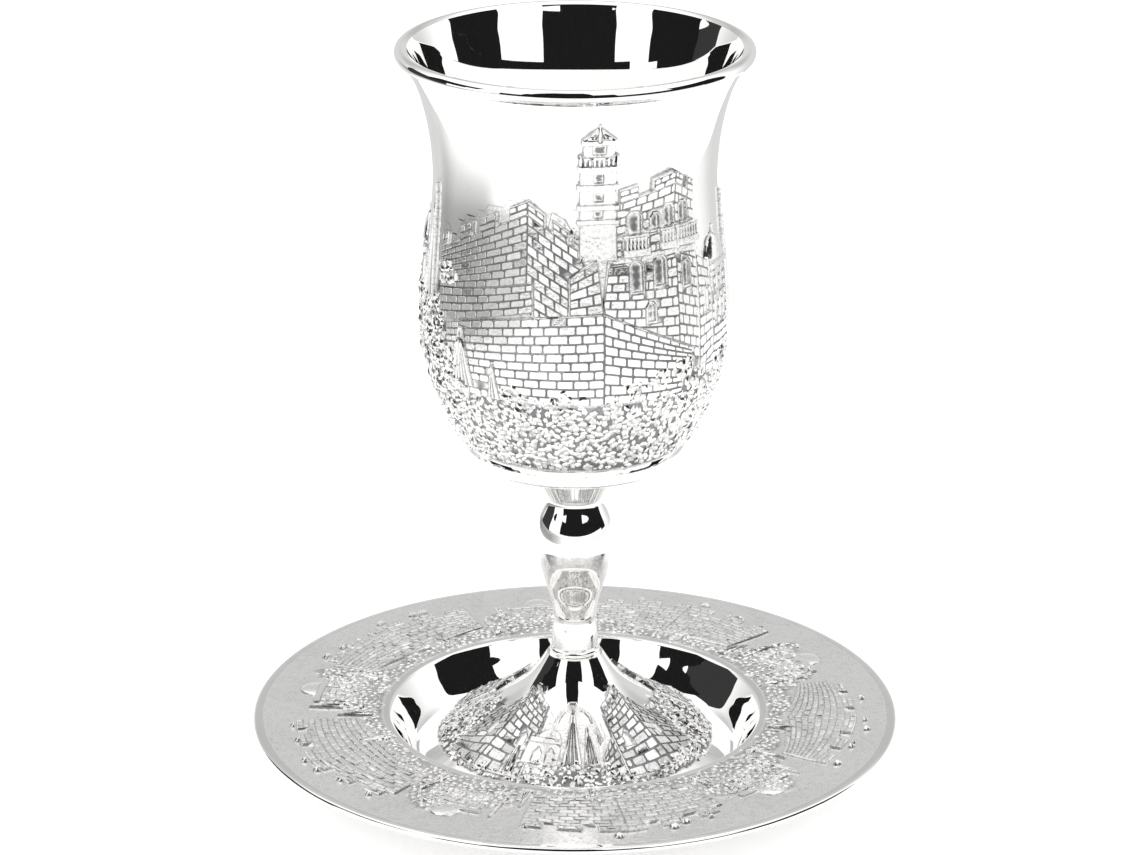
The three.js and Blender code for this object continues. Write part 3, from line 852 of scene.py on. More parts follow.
def saucer_town(relief, origin, fold, seed):
    """One stretch of wall with its outworks on the rim. Azimuth counts from origin, climb is the radius."""
    relief.turn_to(-origin, -1)
    for tree in ((-12.9, 41.5, 49.2, 1.1, 1.2, 4), (34.8, 41.5, 50.4, 1.2, 1.2, 4),
                 (4.2, 41.0, 46.4, 0.95, 1.5, 3), (54.2, 44, 55, 1.1, 1.2, 4)):
        relief.cypress(*tree)
    inner, corner = 43.6 + fold, 57.6 - fold * 0.4
    relief.rampart(((-10.5, inner), (10, 43), (10, corner), (-11, 55.2)), [0.7, 1.2, 1.35, 0.8], 9,
                   ((-10.9, -6.6), (-3.3, 1.2), (4.6, 10, 1)), 2.2, 2.6, joined_edges=[1])
    relief.rampart(((10, 43), (31, inner), (31.6, 55.0), (10, corner)), [1.2, 0.7, 0.8, 1.35], 9,
                   ((10, 13.6, 3), (17, 21.6), (25.4, 29.6)), 2.2, 2.6, joined_edges=[3])
    draw = np.random.default_rng(seed)
    for azimuth, climb in ((-9.2, 57.6), (-1.6, 58.6), (0.4, 58.4), (7.9, 59.8), (12.2, 59.6), (19.4, 58.6),
                           (21.6, 58.0), (27.4, 57.6)):
        if draw.random() < 0.68:
            size = draw.uniform(0.5, 1.1)
            bearing = azimuth + draw.uniform(-0.6, 0.6)
            relief.dome(bearing, climb + draw.uniform(-0.4, 1.6), size, size * 1.1, 2.0)
    for window in (40.5, 44.5, 48.5):
        relief.window(window, 0.9, 48.4, 51, 51.8)
    relief.block(37.4, 51.6, 53.2, 54.2, 1.0)
    relief.wall(((37.8, 46.2), (51.2, 46.2), (51.2, 53.2), (37.8, 53.2)), [0.75] * 4, 5, stone=2.3)
    relief.dome(44.5, 54.3, 3.1, 3.6, 1.2)


# ---------------------------------------------------------------- Geometry Nodes

class Wiring:
    """Short forms for building a tree of nodes."""

    def __init__(self, tree):
        self.tree = tree

    def fill(self, target, value):
        """Links an input to a socket, or gives it a value."""
        if isinstance(value, bpy.types.NodeSocket):
            self.tree.links.new(value, target)
        else:
            target.default_value = value

    def node(self, kind, inputs=(), **settings):
        made = self.tree.nodes.new(kind)
        for key, value in settings.items():
            setattr(made, key, value)
        for key, value in dict(inputs).items():
            self.fill(made.inputs[key], value)
        return made

    def math(self, operation, *values, clamp=False):
        made = self.node("ShaderNodeMath", enumerate(values), operation=operation, use_clamp=clamp)
        return made.outputs[0]

    def ramp(self, value, *stops, smooth=False):
        made = self.node("ShaderNodeValToRGB", {"Fac": value})
        made.color_ramp.interpolation = "EASE" if smooth else "LINEAR"
        elements = made.color_ramp.elements
        for i, (at, tone) in enumerate(stops):
            element = elements[i] if i < 2 else elements.new(at)
            element.position = at
            element.color = (tone, tone, tone, 1)
        return made.outputs["Color"]

    def mix(self, share, first, second):
        return self.node("ShaderNodeMix", {0: share, 6: first, 7: second}, data_type="RGBA").outputs[2]

    def noise(self, scale, detail=2.0):
        place = self.node("ShaderNodeTexCoord").outputs["Object"]
        made = self.node("ShaderNodeTexNoise", {"Vector": place, "Scale": scale, "Detail": detail})
        return made.outputs["Fac"]


def new_tree(name, inputs):
    """A node group with the given inputs: its wiring, the sockets of its inputs, and its result."""
    tree = bpy.data.node_groups.new(name, "GeometryNodeTree")
    tree.interface.new_socket("Geometry", in_out="OUTPUT", socket_type="NodeSocketGeometry")
    for label, kind, default in inputs:
        made = tree.interface.new_socket(label, in_out="INPUT", socket_type=kind)
        if default is not None:
            made.default_value = default
    return Wiring(tree), tree.nodes.new("NodeGroupInput").outputs, tree.nodes.new("NodeGroupOutput").inputs[0]


def socket(tree, name):
    """The identifier of a node group's input, by its name."""
    return next(item.identifier for item in tree.interface.items_tree
                if item.item_type == "SOCKET" and item.in_out == "INPUT" and item.name == name)


def turning_tree():
    """Sweeps profile lines round the axis. A profile runs so that the body is on its inner side."""
    w, given, result = new_tree("Turning", [
        ("Profile", "NodeSocketGeometry", None),
        ("Segments", "NodeSocketInt", 144),
        ("Material", "NodeSocketMaterial", None),
    ])
    circle = w.node("GeometryNodeCurvePrimitiveCircle", {
        "Resolution": given["Segments"], "Radius": TURNING_AXIS * MM}, mode="RADIUS")
    lines = w.node("GeometryNodeMeshToCurve", {"Mesh": given["Profile"]})
    sweep = w.node("GeometryNodeCurveToMesh", {
        "Curve": circle.outputs["Curve"], "Profile Curve": lines.outputs["Curve"]})
    weld = w.node("GeometryNodeMergeByDistance", {"Geometry": sweep.outputs["Mesh"], "Distance": 1e-6})
    smooth = w.node("GeometryNodeSetShadeSmooth", {"Geometry": weld.outputs["Geometry"]})
    whole = w.node("GeometryNodeRealizeInstances", {"Geometry": smooth.outputs["Geometry"]})
    finish = w.node("GeometryNodeSetMaterial", {
        "Geometry": whole.outputs["Geometry"], "Material": given["Material"]})
    w.fill(result, finish.outputs["Geometry"])
    return w.tree


def leaf_tree():
    """Keeps the ground and covers it with small rounded leaves, evenly spaced, where it is planted."""
    w, given, result = new_tree("Foliage", [
        ("Ground", "NodeSocketGeometry", None),
        ("Spacing", "NodeSocketFloat", 0.001),
        ("Leaf Size", "NodeSocketVector", (0.0007, 0.0005, 0.0004)),
        ("Seed", "NodeSocketInt", 1),
        ("Material", "NodeSocketMaterial", None),
    ])

    def random_number(low, high):
        return w.node("FunctionNodeRandomValue", {2: low, 3: high}, data_type="FLOAT").outputs[1]

    planted = w.node("GeometryNodeInputNamedAttribute", {"Name": "planted"}, data_type="FLOAT")
    strew = w.node("GeometryNodeDistributePointsOnFaces", {
        "Mesh": given["Ground"], "Distance Min": given["Spacing"], "Density Max": LEAF_DENSITY,
        "Density Factor": planted.outputs["Attribute"], "Seed": given["Seed"]}, distribute_method="POISSON")
    leaf = w.node("GeometryNodeMeshIcoSphere", {"Radius": 1.0, "Subdivisions": 1})
    spin = w.node("FunctionNodeRandomValue", {
        "Min": (-LEAF_LEAN, -LEAF_LEAN, -math.pi), "Max": (LEAF_LEAN, LEAF_LEAN, math.pi)},
        data_type="FLOAT_VECTOR")
    twist = w.node("FunctionNodeRotateRotation", {
        "Rotation": strew.outputs["Rotation"], "Rotate By": spin.outputs[0]}, rotation_space="LOCAL")
    scale = w.node("ShaderNodeVectorMath", {
        0: given["Leaf Size"], "Scale": random_number(0.72, 1.3)}, operation="SCALE")
    place = w.node("GeometryNodeInstanceOnPoints", {
        "Points": strew.outputs["Points"], "Instance": leaf.outputs["Mesh"],
        "Rotation": twist.outputs["Rotation"], "Scale": scale.outputs[0]})
    toned = w.node("GeometryNodeStoreNamedAttribute", {
        "Geometry": place.outputs["Instances"], "Name": "tone", "Value": random_number(0.02, 0.34)},
        data_type="FLOAT", domain="INSTANCE")
    whole = w.node("GeometryNodeRealizeInstances", {"Geometry": toned.outputs["Geometry"]})
    both = w.node("GeometryNodeJoinGeometry", {"Geometry": whole.outputs["Geometry"]})
    w.fill(both.inputs["Geometry"], given["Ground"])
    finish = w.node("GeometryNodeSetMaterial", {
        "Geometry": both.outputs["Geometry"], "Material": given["Material"]})
    w.fill(result, finish.outputs["Geometry"])
    return w.tree


def grown(mesh, tree, **values):
    """The mesh that a tree makes of another mesh, as a plain mesh."""
    holder = bpy.data.objects.new("holder", mesh)
    bpy.context.scene.collection.objects.link(holder)
    modifier = holder.modifiers.new("Shape", "NODES")
    modifier.node_group = tree
    for name, value in values.items():
        modifier[socket(tree, name.replace("_", " "))] = value
    graph = bpy.context.evaluated_depsgraph_get()
    made = bpy.data.meshes.new_from_object(holder.evaluated_get(graph))
    bpy.data.objects.remove(holder)
    bpy.data.meshes.remove(mesh)
    return made


def turned(profiles, segments, material):
    """A turned mesh from one or more profile lines of (radius, height) in millimetres."""
    mesh = bpy.data.meshes.new("turned")
    points, edges = [], []
    for profile in profiles:
        first = len(points)
        points.extend(((radius - TURNING_AXIS) * MM, -height * MM, 0) for radius, height in profile)
        edges.extend((first + i, first + i + 1) for i in range(len(profile) - 1))
    mesh.from_pydata(points, edges, [])
    return grown(mesh, turning_tree(), Segments=segments, Material=material)


# ---------------------------------------------------------------- pieces

def relief_mesh(relief):
    corners, triangles, tones, planted = relief.skin()
    mesh = bpy.data.meshes.new("relief")
    mesh.from_pydata((corners * MM).tolist(), [], triangles.tolist())
    mesh.attributes.new("tone", "FLOAT", "POINT").data.foreach_set("value", tones)
    mesh.attributes.new("planted", "FLOAT", "POINT").data.foreach_set("value", planted)
    mesh.polygons.foreach_set("use_smooth", [True] * len(mesh.polygons))
    return mesh


def welded(name, meshes, material):
    """Joins meshes whose edges meet into one closed piece."""
    body = bmesh.new()
    for mesh in meshes:
        body.from_mesh(mesh)
        bpy.data.meshes.remove(mesh)
    bmesh.ops.remove_doubles(body, verts=body.verts, dist=WELD)
    loose = [vert for vert in body.verts if not vert.link_faces]
    bmesh.ops.delete(body, geom=loose, context="VERTS")
    bmesh.ops.recalc_face_normals(body, faces=body.faces)
    if body.calc_volume(signed=True) < 0:
        bmesh.ops.reverse_faces(body, faces=body.faces)
    opened = sum(1 for edge in body.edges if len(edge.link_faces) != 2)
    if opened:
        raise RuntimeError(f"{name}: {opened} edges are open or shared by more than two faces")
    mesh = bpy.data.meshes.new(name)
    body.to_mesh(mesh)
    body.free()
    mesh.materials.clear()
    mesh.materials.append(material)
    return mesh


def with_leaves(mesh, settings, material, seed, length=1.0, width=0.7, spacing=1.0):
    """A mesh with leaves on its planted ground. Length and spacing are shares of those in the settings."""
    leaf = settings.leaf_length * length
    return grown(mesh, leaf_tree(), Spacing=settings.leaf_spacing * spacing,
                 Leaf_Size=(leaf, leaf * width, leaf * LEAF_HEIGHT), Seed=seed, Material=material)


def piece(name, mesh, node):
    """Makes the finished piece that is seen in place of a node."""
    mesh.polygons.foreach_set("use_smooth", [True] * len(mesh.polygons))
    mesh.set_sharp_from_angle(angle=SHARP)
    made = bpy.data.objects.new(name, mesh)
    bpy.context.scene.collection.objects.link(made)
    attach(made, "root")
    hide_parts(node)


# ---------------------------------------------------------------- finishes

def new_material(name, **values):
    """A material, its wiring and its shader, with the shader's inputs as given."""
    material = bpy.data.materials.new(name)
    material.use_nodes = True
    w = Wiring(material.node_tree)
    shader = next(node for node in w.tree.nodes if node.type == "BSDF_PRINCIPLED")
    for key, value in values.items():
        shader.inputs[key.replace("_", " ")].default_value = value
    return material, w, shader


def silver_plate(name, settings):
    """The start of a finish in silver: its material, wiring and shader, and its clean and dark colours."""
    return *new_material(name, Metallic=1.0), (*settings.silver, 1), (*settings.oxide, 1)


def relief_silver(name, settings, roughness=None):
    """Silver plate, polished where it is plain, softer on raised work, and oxidised and darkened with painted
    shade in joints and hollows.
    """
    roughness = roughness or settings.relief_roughness
    material, w, shader, silver, oxide = silver_plate(name, settings)
    tone = w.node("ShaderNodeAttribute", attribute_name="tone").outputs["Fac"]
    planted = w.node("ShaderNodeAttribute", attribute_name="planted").outputs["Fac"]
    cloud = w.noise(70.0, 3.0)
    grain = w.noise(1500.0)
    patchy = w.math("MULTIPLY_ADD", cloud, 0.8, 0.55)
    # Oxide and painted shade: joints, the foot of raised forms, openings, creases and the ground under leaves
    # are darkened by their tone.
    oxide_and_painted_shade = w.math("MULTIPLY", w.ramp(tone, (0.15, 0.0), (0.95, 1.0)), patchy, clamp=True)
    pits = w.math("MULTIPLY", w.ramp(grain, (0.5, 0.0), (0.68, 1.0)), w.ramp(tone, (0.0, 0.0), (0.2, 1.0)))
    oxide_and_painted_shade = w.math("MULTIPLY_ADD", pits, 0.3, oxide_and_painted_shade, clamp=True)
    veil = w.math("MULTIPLY", w.ramp(cloud, (0.4, 0.0), (0.8, 1.0), smooth=True), 0.06)
    share = w.math("ADD", w.math("MULTIPLY", oxide_and_painted_shade, settings.oxide_and_shade_strength), veil, clamp=True)
    w.fill(shader.inputs["Base Color"], w.mix(share, silver, oxide))
    worked = w.math("MAXIMUM", w.ramp(tone, (0.0, 0.0), (0.05, 1.0)), planted, clamp=True)
    soft = w.math("MULTIPLY", worked, roughness)
    rough = w.math("ADD", w.math("MULTIPLY_ADD", oxide_and_painted_shade, 0.25, settings.polish_roughness), soft)
    fine = w.math("MULTIPLY", grain, worked)
    w.fill(shader.inputs["Roughness"], w.math("MULTIPLY_ADD", fine, 0.06, rough, clamp=True))
    bump = w.node("ShaderNodeBump", {"Height": fine, "Strength": 0.25, "Distance": 0.0001})
    w.fill(shader.inputs["Normal"], bump.outputs["Normal"])
    return material


def stippled_silver(name, settings):
    """The same plate with the satin rim of the saucer."""
    return relief_silver(name, settings, settings.rim_roughness)


def polished_silver(name, settings):
    """Silver plate polished to a mirror, with faint clouding and hairlines."""
    material, w, shader, silver, oxide = silver_plate(name, settings)
    veil = w.math("MULTIPLY", w.ramp(w.noise(55.0, 4.0), (0.4, 0.0), (0.8, 1.0), smooth=True), 0.08)
    w.fill(shader.inputs["Base Color"], w.mix(veil, silver, oxide))
    rough = w.math("MULTIPLY_ADD", w.noise(900.0), 0.03, settings.polish_roughness)
    w.fill(shader.inputs["Roughness"], rough)
    return material


def shared_material(name, make, settings):
    return bpy.data.materials.get(name) or make(name, settings)


# ---------------------------------------------------------------- add-on

class KiddushCupSettings(bpy.types.PropertyGroup):
    """Sizes and colours that a user would change."""

    stone_rise: bpy.props.FloatProperty(
        name="Stone Rise", description="How far a stone stands out of the joints", default=0.00018,
        min=0.0, max=0.001, precision=5, unit="LENGTH")
    leaf_length: bpy.props.FloatProperty(
        name="Leaf Length", description="Half the length of a leaf on the planted ground", default=0.00094,
        min=0.0002, max=0.003, precision=5, unit="LENGTH")
    leaf_spacing: bpy.props.FloatProperty(
        name="Leaf Spacing", description="Least distance between two leaves", default=0.00098,
        min=0.0005, max=0.005, precision=5, unit="LENGTH")
    segments: bpy.props.IntProperty(
        name="Segments", description="Facets round the turned parts, rounded to a multiple of 48",
        default=192, min=96, max=384)
    silver: bpy.props.FloatVectorProperty(
        name="Silver", description="Colour of the clean plate", default=(0.93, 0.925, 0.915),
        subtype="COLOR", size=3, min=0.0, max=1.0)
    oxide: bpy.props.FloatVectorProperty(
        name="Oxide", description="Colour of the plate in joints and hollows", default=(0.13, 0.13, 0.135),
        subtype="COLOR", size=3, min=0.0, max=1.0)
    # Scales the oxide and the painted shade in joints and hollows.
    oxide_and_shade_strength: bpy.props.FloatProperty(
        name="Oxide And Shade Strength", description="How dark joints and hollows are", default=0.85,
        min=0.0, max=1.0, subtype="FACTOR")
    polish_roughness: bpy.props.FloatProperty(
        name="Polish Roughness", description="Roughness of the polished parts", default=0.02,
        min=0.0, max=1.0, subtype="FACTOR")
    relief_roughness: bpy.props.FloatProperty(
        name="Relief Roughness", description="Roughness of the raised work", default=0.09,
        min=0.0, max=1.0, subtype="FACTOR")
    rim_roughness: bpy.props.FloatProperty(
        name="Rim Roughness", description="Roughness of the stippled rim of the saucer", default=0.2,
        min=0.0, max=1.0, subtype="FACTOR")


def settings_of(context):
    return context.scene.kiddush_cup


def facets(settings, share=1.0):
    return int(settings.segments * share) // COLUMNS * COLUMNS


BUSHES = (  # bearing, climb, half width and half height in mm
    (-57, 109.4, 3.6, 3.2), (-52, 92, 3.0, 4.0), (-24, 88.6, 3.5, 1.6), (24, 90, 3.6, 1.8),
    (33, 91, 3.2, 2.0), (44, 92, 3.4, 2.2), (-5, 87.8, 4, 1.2), (205, 90, 4, 2), (150, 90, 4, 2.2),
    (238, 108, 3, 3),
)
BUSH_DEGREE = 0.52  # millimetres round the bowl for one degree


def off_front(bearing):
    """Degrees away from the middle of the nearer face, the front or the back."""
    return np.abs((bearing + 90) % 180 - 90)


def bowl_planting(bearing, climb):
    """A wavy edge at the foot of the walls, higher at the sides, and bushes."""
    edge = 87.9 + wave(
        bearing, climb, (1.0, 3, 0, 0.4), (0.9, 8, 0, 2.2), (0.8, 19, 0, 1.0), (0.6, 43, 0, 3.1))
    left = np.maximum(fade_in(-bearing, 54, 9), fade_in(bearing, 244, 9))
    edge = edge + 5.0 * fade_in(off_front(bearing), 40, 12) + 13 * left
    share = np.clip((edge - climb + 1.2) / 3.0, 0, 1) ** 3
    for place, rise, wide, tall in BUSHES:
        across = (bearing - place) * BUSH_DEGREE / wide
        share = np.maximum(share, np.clip(3 * (1 - np.hypot(across, (climb - rise) / tall)), 0, 1))
    return share * fade_in(climb - BOWL_BAND[0], 0.6, 0.8)


def foot_planting(bearing, climb):
    """Low under the two blocks of wall, higher between them and at the sides."""
    edge = 8.0 + wave(bearing, climb, (0.7, 5, 0, 1.0), (0.5, 11, 0, 2.0), (0.4, 37, 0, 0.6))
    sides = off_front(bearing)
    edge = edge + 1.2 - 2.8 * fade_in(26 - np.abs(sides - 48), 0, 6) + 7.5 * fade_in(sides, 68, 8)
    return fade_in(edge - climb, 0, 0.8) * fade_in(climb, 4.0, 0.4)


def saucer_planting(bearing, climb):
    """A ring round the well that reaches outwards between two stretches of wall."""
    inner = 44.6 + wave(bearing, climb, (1.0, 7, 0, 0.5), (0.7, 13, 0, 2.0))
    beside = np.abs((-bearing - 8.0) % 72 - 36) / 36  # 1 in the middle of a wall, 0 between walls
    reach = 9 + wave(bearing, climb, (3, 9, 0, 1), (2, 23, 0, 0))
    inner = inner + fade_in(0.46 - beside, 0, 0.2) * reach
    return fade_in(inner - climb, 0, 0.9) * fade_in(climb - SAUCER_BAND[0], 0.5, 0.4)


class KIDDUSH_OT_bowl(bpy.types.Operator):
    """Builds the bowl with the city round it"""
    bl_idname = "kiddush.bowl"
    bl_label = "Bowl"

    def execute(self, context):
        settings = settings_of(context)
        material = shared_material("relief silver", relief_silver, settings)
        below = BODY[:, 1] <= BOWL_BAND[1]
        band, top = BODY[below], BODY[~below]
        relief = Relief(
            Unrolled(band, band[:, 1], mean_radius=29.0), first_bearing=-80.625, segments=facets(settings),
            planting=bowl_planting, mound=0.55, seed=5, rise=settings.stone_rise / MM, tilt=0.015, lift=0.85)
        city(relief)
        city(relief, 180.0, -1, framed=False)
        outskirts(relief)
        relief.open_ground(plain_pitch=1.8, planted_pitch=0.85)
        under = [
            (0, STEM_TOP), (9.5, STEM_TOP), (16, 63.8), (RING_RADIUS - 0.6, 66.2), (RING_RADIUS, RING_BOTTOM),
            (RING_RADIUS, RING_BOTTOM + 1.8), (RING_RADIUS - 0.5, RING_BOTTOM + 2.3), tuple(band[0]),
        ][::-1]
        lip = arc(LIP_RADIUS - 1.3, CUP_HEIGHT - 1.3, 1.3, -0.3, 0.6, 9)
        over = joined(band[-1], top, lip, BOWL_INSIDE)[::-1]
        plain = turned([over, under], facets(settings), material)
        mesh = welded("bowl", [relief_mesh(relief), plain], material)
        mesh = with_leaves(mesh, settings, material, seed=3, width=0.72)
        piece("bowl_body", mesh, "bowl")
        return {"FINISHED"}


class KIDDUSH_OT_stem(bpy.types.Operator):
    """Turns the stem with its knop"""
    bl_idname = "kiddush.stem"
    bl_label = "Stem"

    def execute(self, context):
        material = shared_material("polished silver", polished_silver, settings_of(context))
        ring = arc(4.5, STEM_BOTTOM + 0.75, 0.65, -0.4, 0.35, 8)
        profile = joined((0, STEM_BOTTOM), (4.75, STEM_BOTTOM), ring, BALUSTER, (0, STEM_TOP))[::-1]
        mesh = welded("stem", [turned([profile], STEM_FACETS, material)], material)
        piece("stem_body", mesh, "stem")
        return {"FINISHED"}


class KIDDUSH_OT_foot(bpy.types.Operator):
    """Builds the foot with its walls and trees"""
    bl_idname = "kiddush.foot"
    bl_label = "Foot"

    def execute(self, context):
        settings = settings_of(context)
        material = shared_material("relief silver", relief_silver, settings)
        outside = FLARE[:, 0] > FOOT_BAND_END
        band, neck = FLARE[outside], FLARE[~outside]
        segments = facets(settings, 0.75)
        # The foot's stone tops take darker tones than the bowl's: painted shade.
        relief = Relief(
            Unrolled(band, FOOT_RADIUS - band[:, 0], mean_radius=20.0), first_bearing=-100.0,
            segments=segments, planting=foot_planting, mound=0.4, seed=11, rise=settings.stone_rise / MM,
            tilt=0.05, lift=0.75, shades=(0.15, 0.5))
        foot_town(relief)
        foot_town(relief, 180.0, -1)
        relief.open_ground(plain_pitch=1.6, planted_pitch=0.8)
        edge = [tuple(band[0]), (FOOT_RADIUS - 0.6, 2.2), (FOOT_RADIUS - 0.12, 1.95), (FOOT_RADIUS, 1.7),
                (FOOT_RADIUS, SAUCER_SHEET), (FOOT_RADIUS - FOOT_WALL, SAUCER_SHEET)]
        hollow = FLARE - [FOOT_WALL * 0.56, FOOT_WALL * 0.83]
        hollow = hollow[hollow[:, 0] > 6]
        under = joined(edge, hollow, (0, hollow[-1][1]))
        cone = joined((0, STEM_BOTTOM), neck[::-1], band[-1])
        plain = turned([cone, under], segments, material)
        mesh = welded("foot", [relief_mesh(relief), plain], material)
        mesh = with_leaves(mesh, settings, material, seed=4, length=0.85, spacing=0.95)
        piece("foot_body", mesh, "foot")
        return {"FINISHED"}


class KIDDUSH_OT_saucer(bpy.types.Operator):
    """Builds the saucer with its ring of walls"""
    bl_idname = "kiddush.saucer"
    bl_label = "Saucer"

    def execute(self, context):
        settings = settings_of(context)
        material = shared_material("stippled silver", stippled_silver, settings)
        radii = np.linspace(*SAUCER_BAND, 60)
        band = np.stack([radii, np.full(len(radii), float(SAUCER_RIM))], 1)
        segments = facets(settings, 1.25)
        relief = Relief(
            Unrolled(band, radii, mean_radius=50.0, side=-1), first_bearing=-201.0, segments=segments,
            planting=saucer_planting, mound=0.3, seed=23, rise=settings.stone_rise * 0.7 / MM, tilt=0.04,
            lift=0.45, shades=(0.05, 0.3), shadow=0.6)
        for seed, (origin, fold) in enumerate(((0, 0.4), (72, 4.2), (144, 1.5), (-72, 1.0), (-144, 2.5))):
            saucer_town(relief, origin, fold, seed)
        relief.open_ground(plain_pitch=0.9, planted_pitch=0.85, stipple=0.035)
        inside = joined((0, SAUCER_SHEET), WELL[::-1], (WELL_RADIUS + 0.4, SAUCER_RIM - 0.08),
                        (WELL_RADIUS + 1.2, SAUCER_RIM), band[0])
        below = joined(band[-1], arc(SAUCER_RADIUS - 0.65, SAUCER_RIM - 0.65, 0.65, 0.5, -0.5, 9),
                       WELL + [SAUCER_SHEET, -SAUCER_SHEET], (0, 0))
        plain = turned([inside, below], segments, material)
        mesh = welded("saucer", [relief_mesh(relief), plain], material)
        mesh = with_leaves(mesh, settings, material, seed=6, length=0.75)
        piece("saucer_body", mesh, "saucer")
        return {"FINISHED"}


# ---------------------------------------------------------------- stage, in metres

CAMERA_PLACE = (-0.001, -0.7655, 0.3537)
CAMERA_PITCH = 0.3536  # downwards, in radians
CAMERA_LENS = 127.6
FLOOR_RADIUS = 0.3
FLOOR_CENTRE = 0.03  # to the right of the cup
FLOOR_LEVEL = -0.0002  # just under the saucer
FLOOR_SIDES = 96
FLOOR_GLOW = 0.25
LIGHT = 1.25
WALL_SHADE, FLOOR_SHADE = 0.57, 0.7  # how dark reflections show the far wall and the floor to the left
WHITE = (1.0, 1.0, 1.0, 1)
BLACK = (0.0, 0.0, 0.0, 1)
# Near black of the cards, and of the painted shade lying on the floor.
CARD_AND_SHADE_BLACK = (0.01, 0.01, 0.01, 1)
CARD_DISTANCE = 0.46
CARD_GAP = 0.01
CARD_POINTS = 13  # along its lower edge
CARDS = (  # bearing from, to; height from, to; glow; seen by first reflections only
    (-33, 26, 0.07, 0.5, 0.0, True),
    (-30, 12, 0.5, 1.75, 0.0, True),
    (26, 86, 0.07, 0.285, 0.0, True),
    (-46, -33, 0.07, 0.285, 0.0, True),
    (62, 104, 0.285, 0.47, 0.0, False),
    (86, 104, 0.04, 0.285, 0.0, False),
    (-104, -70, 0.215, 0.47, 0.0, False),
    (-70, -62, 0.27, 0.47, 0.0, False),
    (-125, -84, 0.04, 0.215, 0.03, True),
    (-125, -104, 0.215, 0.3, 0.03, True),
    (-84, -70, 0.09, 0.215, 1.3, False),
    (-70, -52, 0.09, 0.27, 1.3, False),
)
SHADE_SIDE = (-0.985, 0.174, 0.0)  # where the shade is darkest
SHADE_LEFT, SHADE_RIGHT = 0.46, 0.16  # how dark it is on that side and across from it
SHADE_REACH = (0.22, 0.9)  # its inner and outer radius
SHADE_LEVEL = 0.0003  # just over the floor
SHADE_SIDES = 48


def staged(name, points, faces, material, seen=False):
    """Adds a sheet to the stage. Unless it is seen, only reflections show it."""
    mesh = bpy.data.meshes.new(name)
    mesh.from_pydata(points, [], faces)
    mesh.materials.append(material)
    made = bpy.data.objects.new(name, mesh)
    made.visible_camera = made.visible_diffuse = made.visible_shadow = seen
    bpy.context.scene.collection.objects.link(made)


def strip(count, closed=False):
    """Faces between a row of points and the row after it."""
    quads = range(count if closed else count - 1)
    return [(i, (i + 1) % count, (i + 1) % count + count, i + count) for i in quads]


def see_through(w, shader, share):
    """Shows a shader by a share, and what is behind it by the rest."""
    clear = w.node("ShaderNodeBsdfTransparent").outputs[0]
    mixed = w.node("ShaderNodeMixShader", {0: share, 1: clear, 2: shader.outputs[0]}).outputs[0]
    w.fill(w.tree.nodes["Material Output"].inputs["Surface"], mixed)


def first_reflection(w):
    """1 for a ray that has been reflected once at most, and otherwise 0."""
    return w.math("LESS_THAN", w.node("ShaderNodeLightPath").outputs["Glossy Depth"], 1.5)


def lay_floor():
    paper, w, shader = new_material(
        "white paper", Metallic=0.0, Roughness=0.8, Emission_Color=WHITE, Emission_Strength=FLOOR_GLOW)
    w.fill(shader.inputs["Base Color"], w.mix(w.noise(40.0), (0.93, 0.93, 0.93, 1), (0.96, 0.96, 0.96, 1)))
    turns = np.linspace(0, 2 * math.pi, FLOOR_SIDES + 1)[:-1]
    rim = [(FLOOR_CENTRE + FLOOR_RADIUS * math.cos(t), FLOOR_RADIUS * math.sin(t)) for t in turns]
    points = [(x, y, FLOOR_LEVEL) for x, y in rim]
    staged("floor", points, [tuple(range(FLOOR_SIDES))], paper, seen=True)


def hang_cards():
    """Black and white cards round the table."""
    for number, (left, right, low, high, glow, once) in enumerate(CARDS):
        card, w, shader = new_material(
            "card", Metallic=0.0, Roughness=1.0, Specular_IOR_Level=0.0, Base_Color=CARD_AND_SHADE_BLACK,
            Emission_Color=WHITE, Emission_Strength=glow)
        if once:
            see_through(w, shader, first_reflection(w))
        reach = CARD_DISTANCE - CARD_GAP * (glow > 0.1)  # a bright card hangs before the black ones
        turns = np.radians(np.linspace(left, right, CARD_POINTS))
        points = [(reach * math.sin(t), -reach * math.cos(t), z) for z in (low, high) for t in turns]
        staged(f"card_{number}", points, strip(CARD_POINTS), card)


def lay_shade():
    """A soft dark patch on either side of the floor, outside what the camera sees."""
    shade, w, shader = new_material("shade", Metallic=0.0, Base_Color=CARD_AND_SHADE_BLACK)
    place = w.node("ShaderNodeTexCoord").outputs["Object"]
    reach = w.node("ShaderNodeVectorMath", {0: place}, operation="LENGTH").outputs["Value"]
    side = w.node("ShaderNodeVectorMath", {0: place, 1: SHADE_SIDE}, operation="DOT_PRODUCT").outputs["Value"]
    side = w.math("DIVIDE", side, reach)
    left = w.math("MULTIPLY", w.ramp(side, (0.78, 0.0), (0.93, 1.0), smooth=True), SHADE_LEFT)
    across = w.math("MULTIPLY", side, -1.0)
    right = w.math("MULTIPLY", w.ramp(across, (0.7, 0.0), (0.95, 1.0), smooth=True), SHADE_RIGHT)
    outer = w.ramp(reach, (0.24, 0.0), (0.38, 1.0), smooth=True)
    see_through(w, shader, w.math("MULTIPLY", w.math("ADD", left, right), outer))
    turns = np.linspace(0, 2 * math.pi, SHADE_SIDES + 1)[:-1]
    points = [(size * math.cos(t), size * math.sin(t), SHADE_LEVEL) for size in SHADE_REACH for t in turns]
    staged("shade", points, strip(SHADE_SIDES, closed=True), shade)


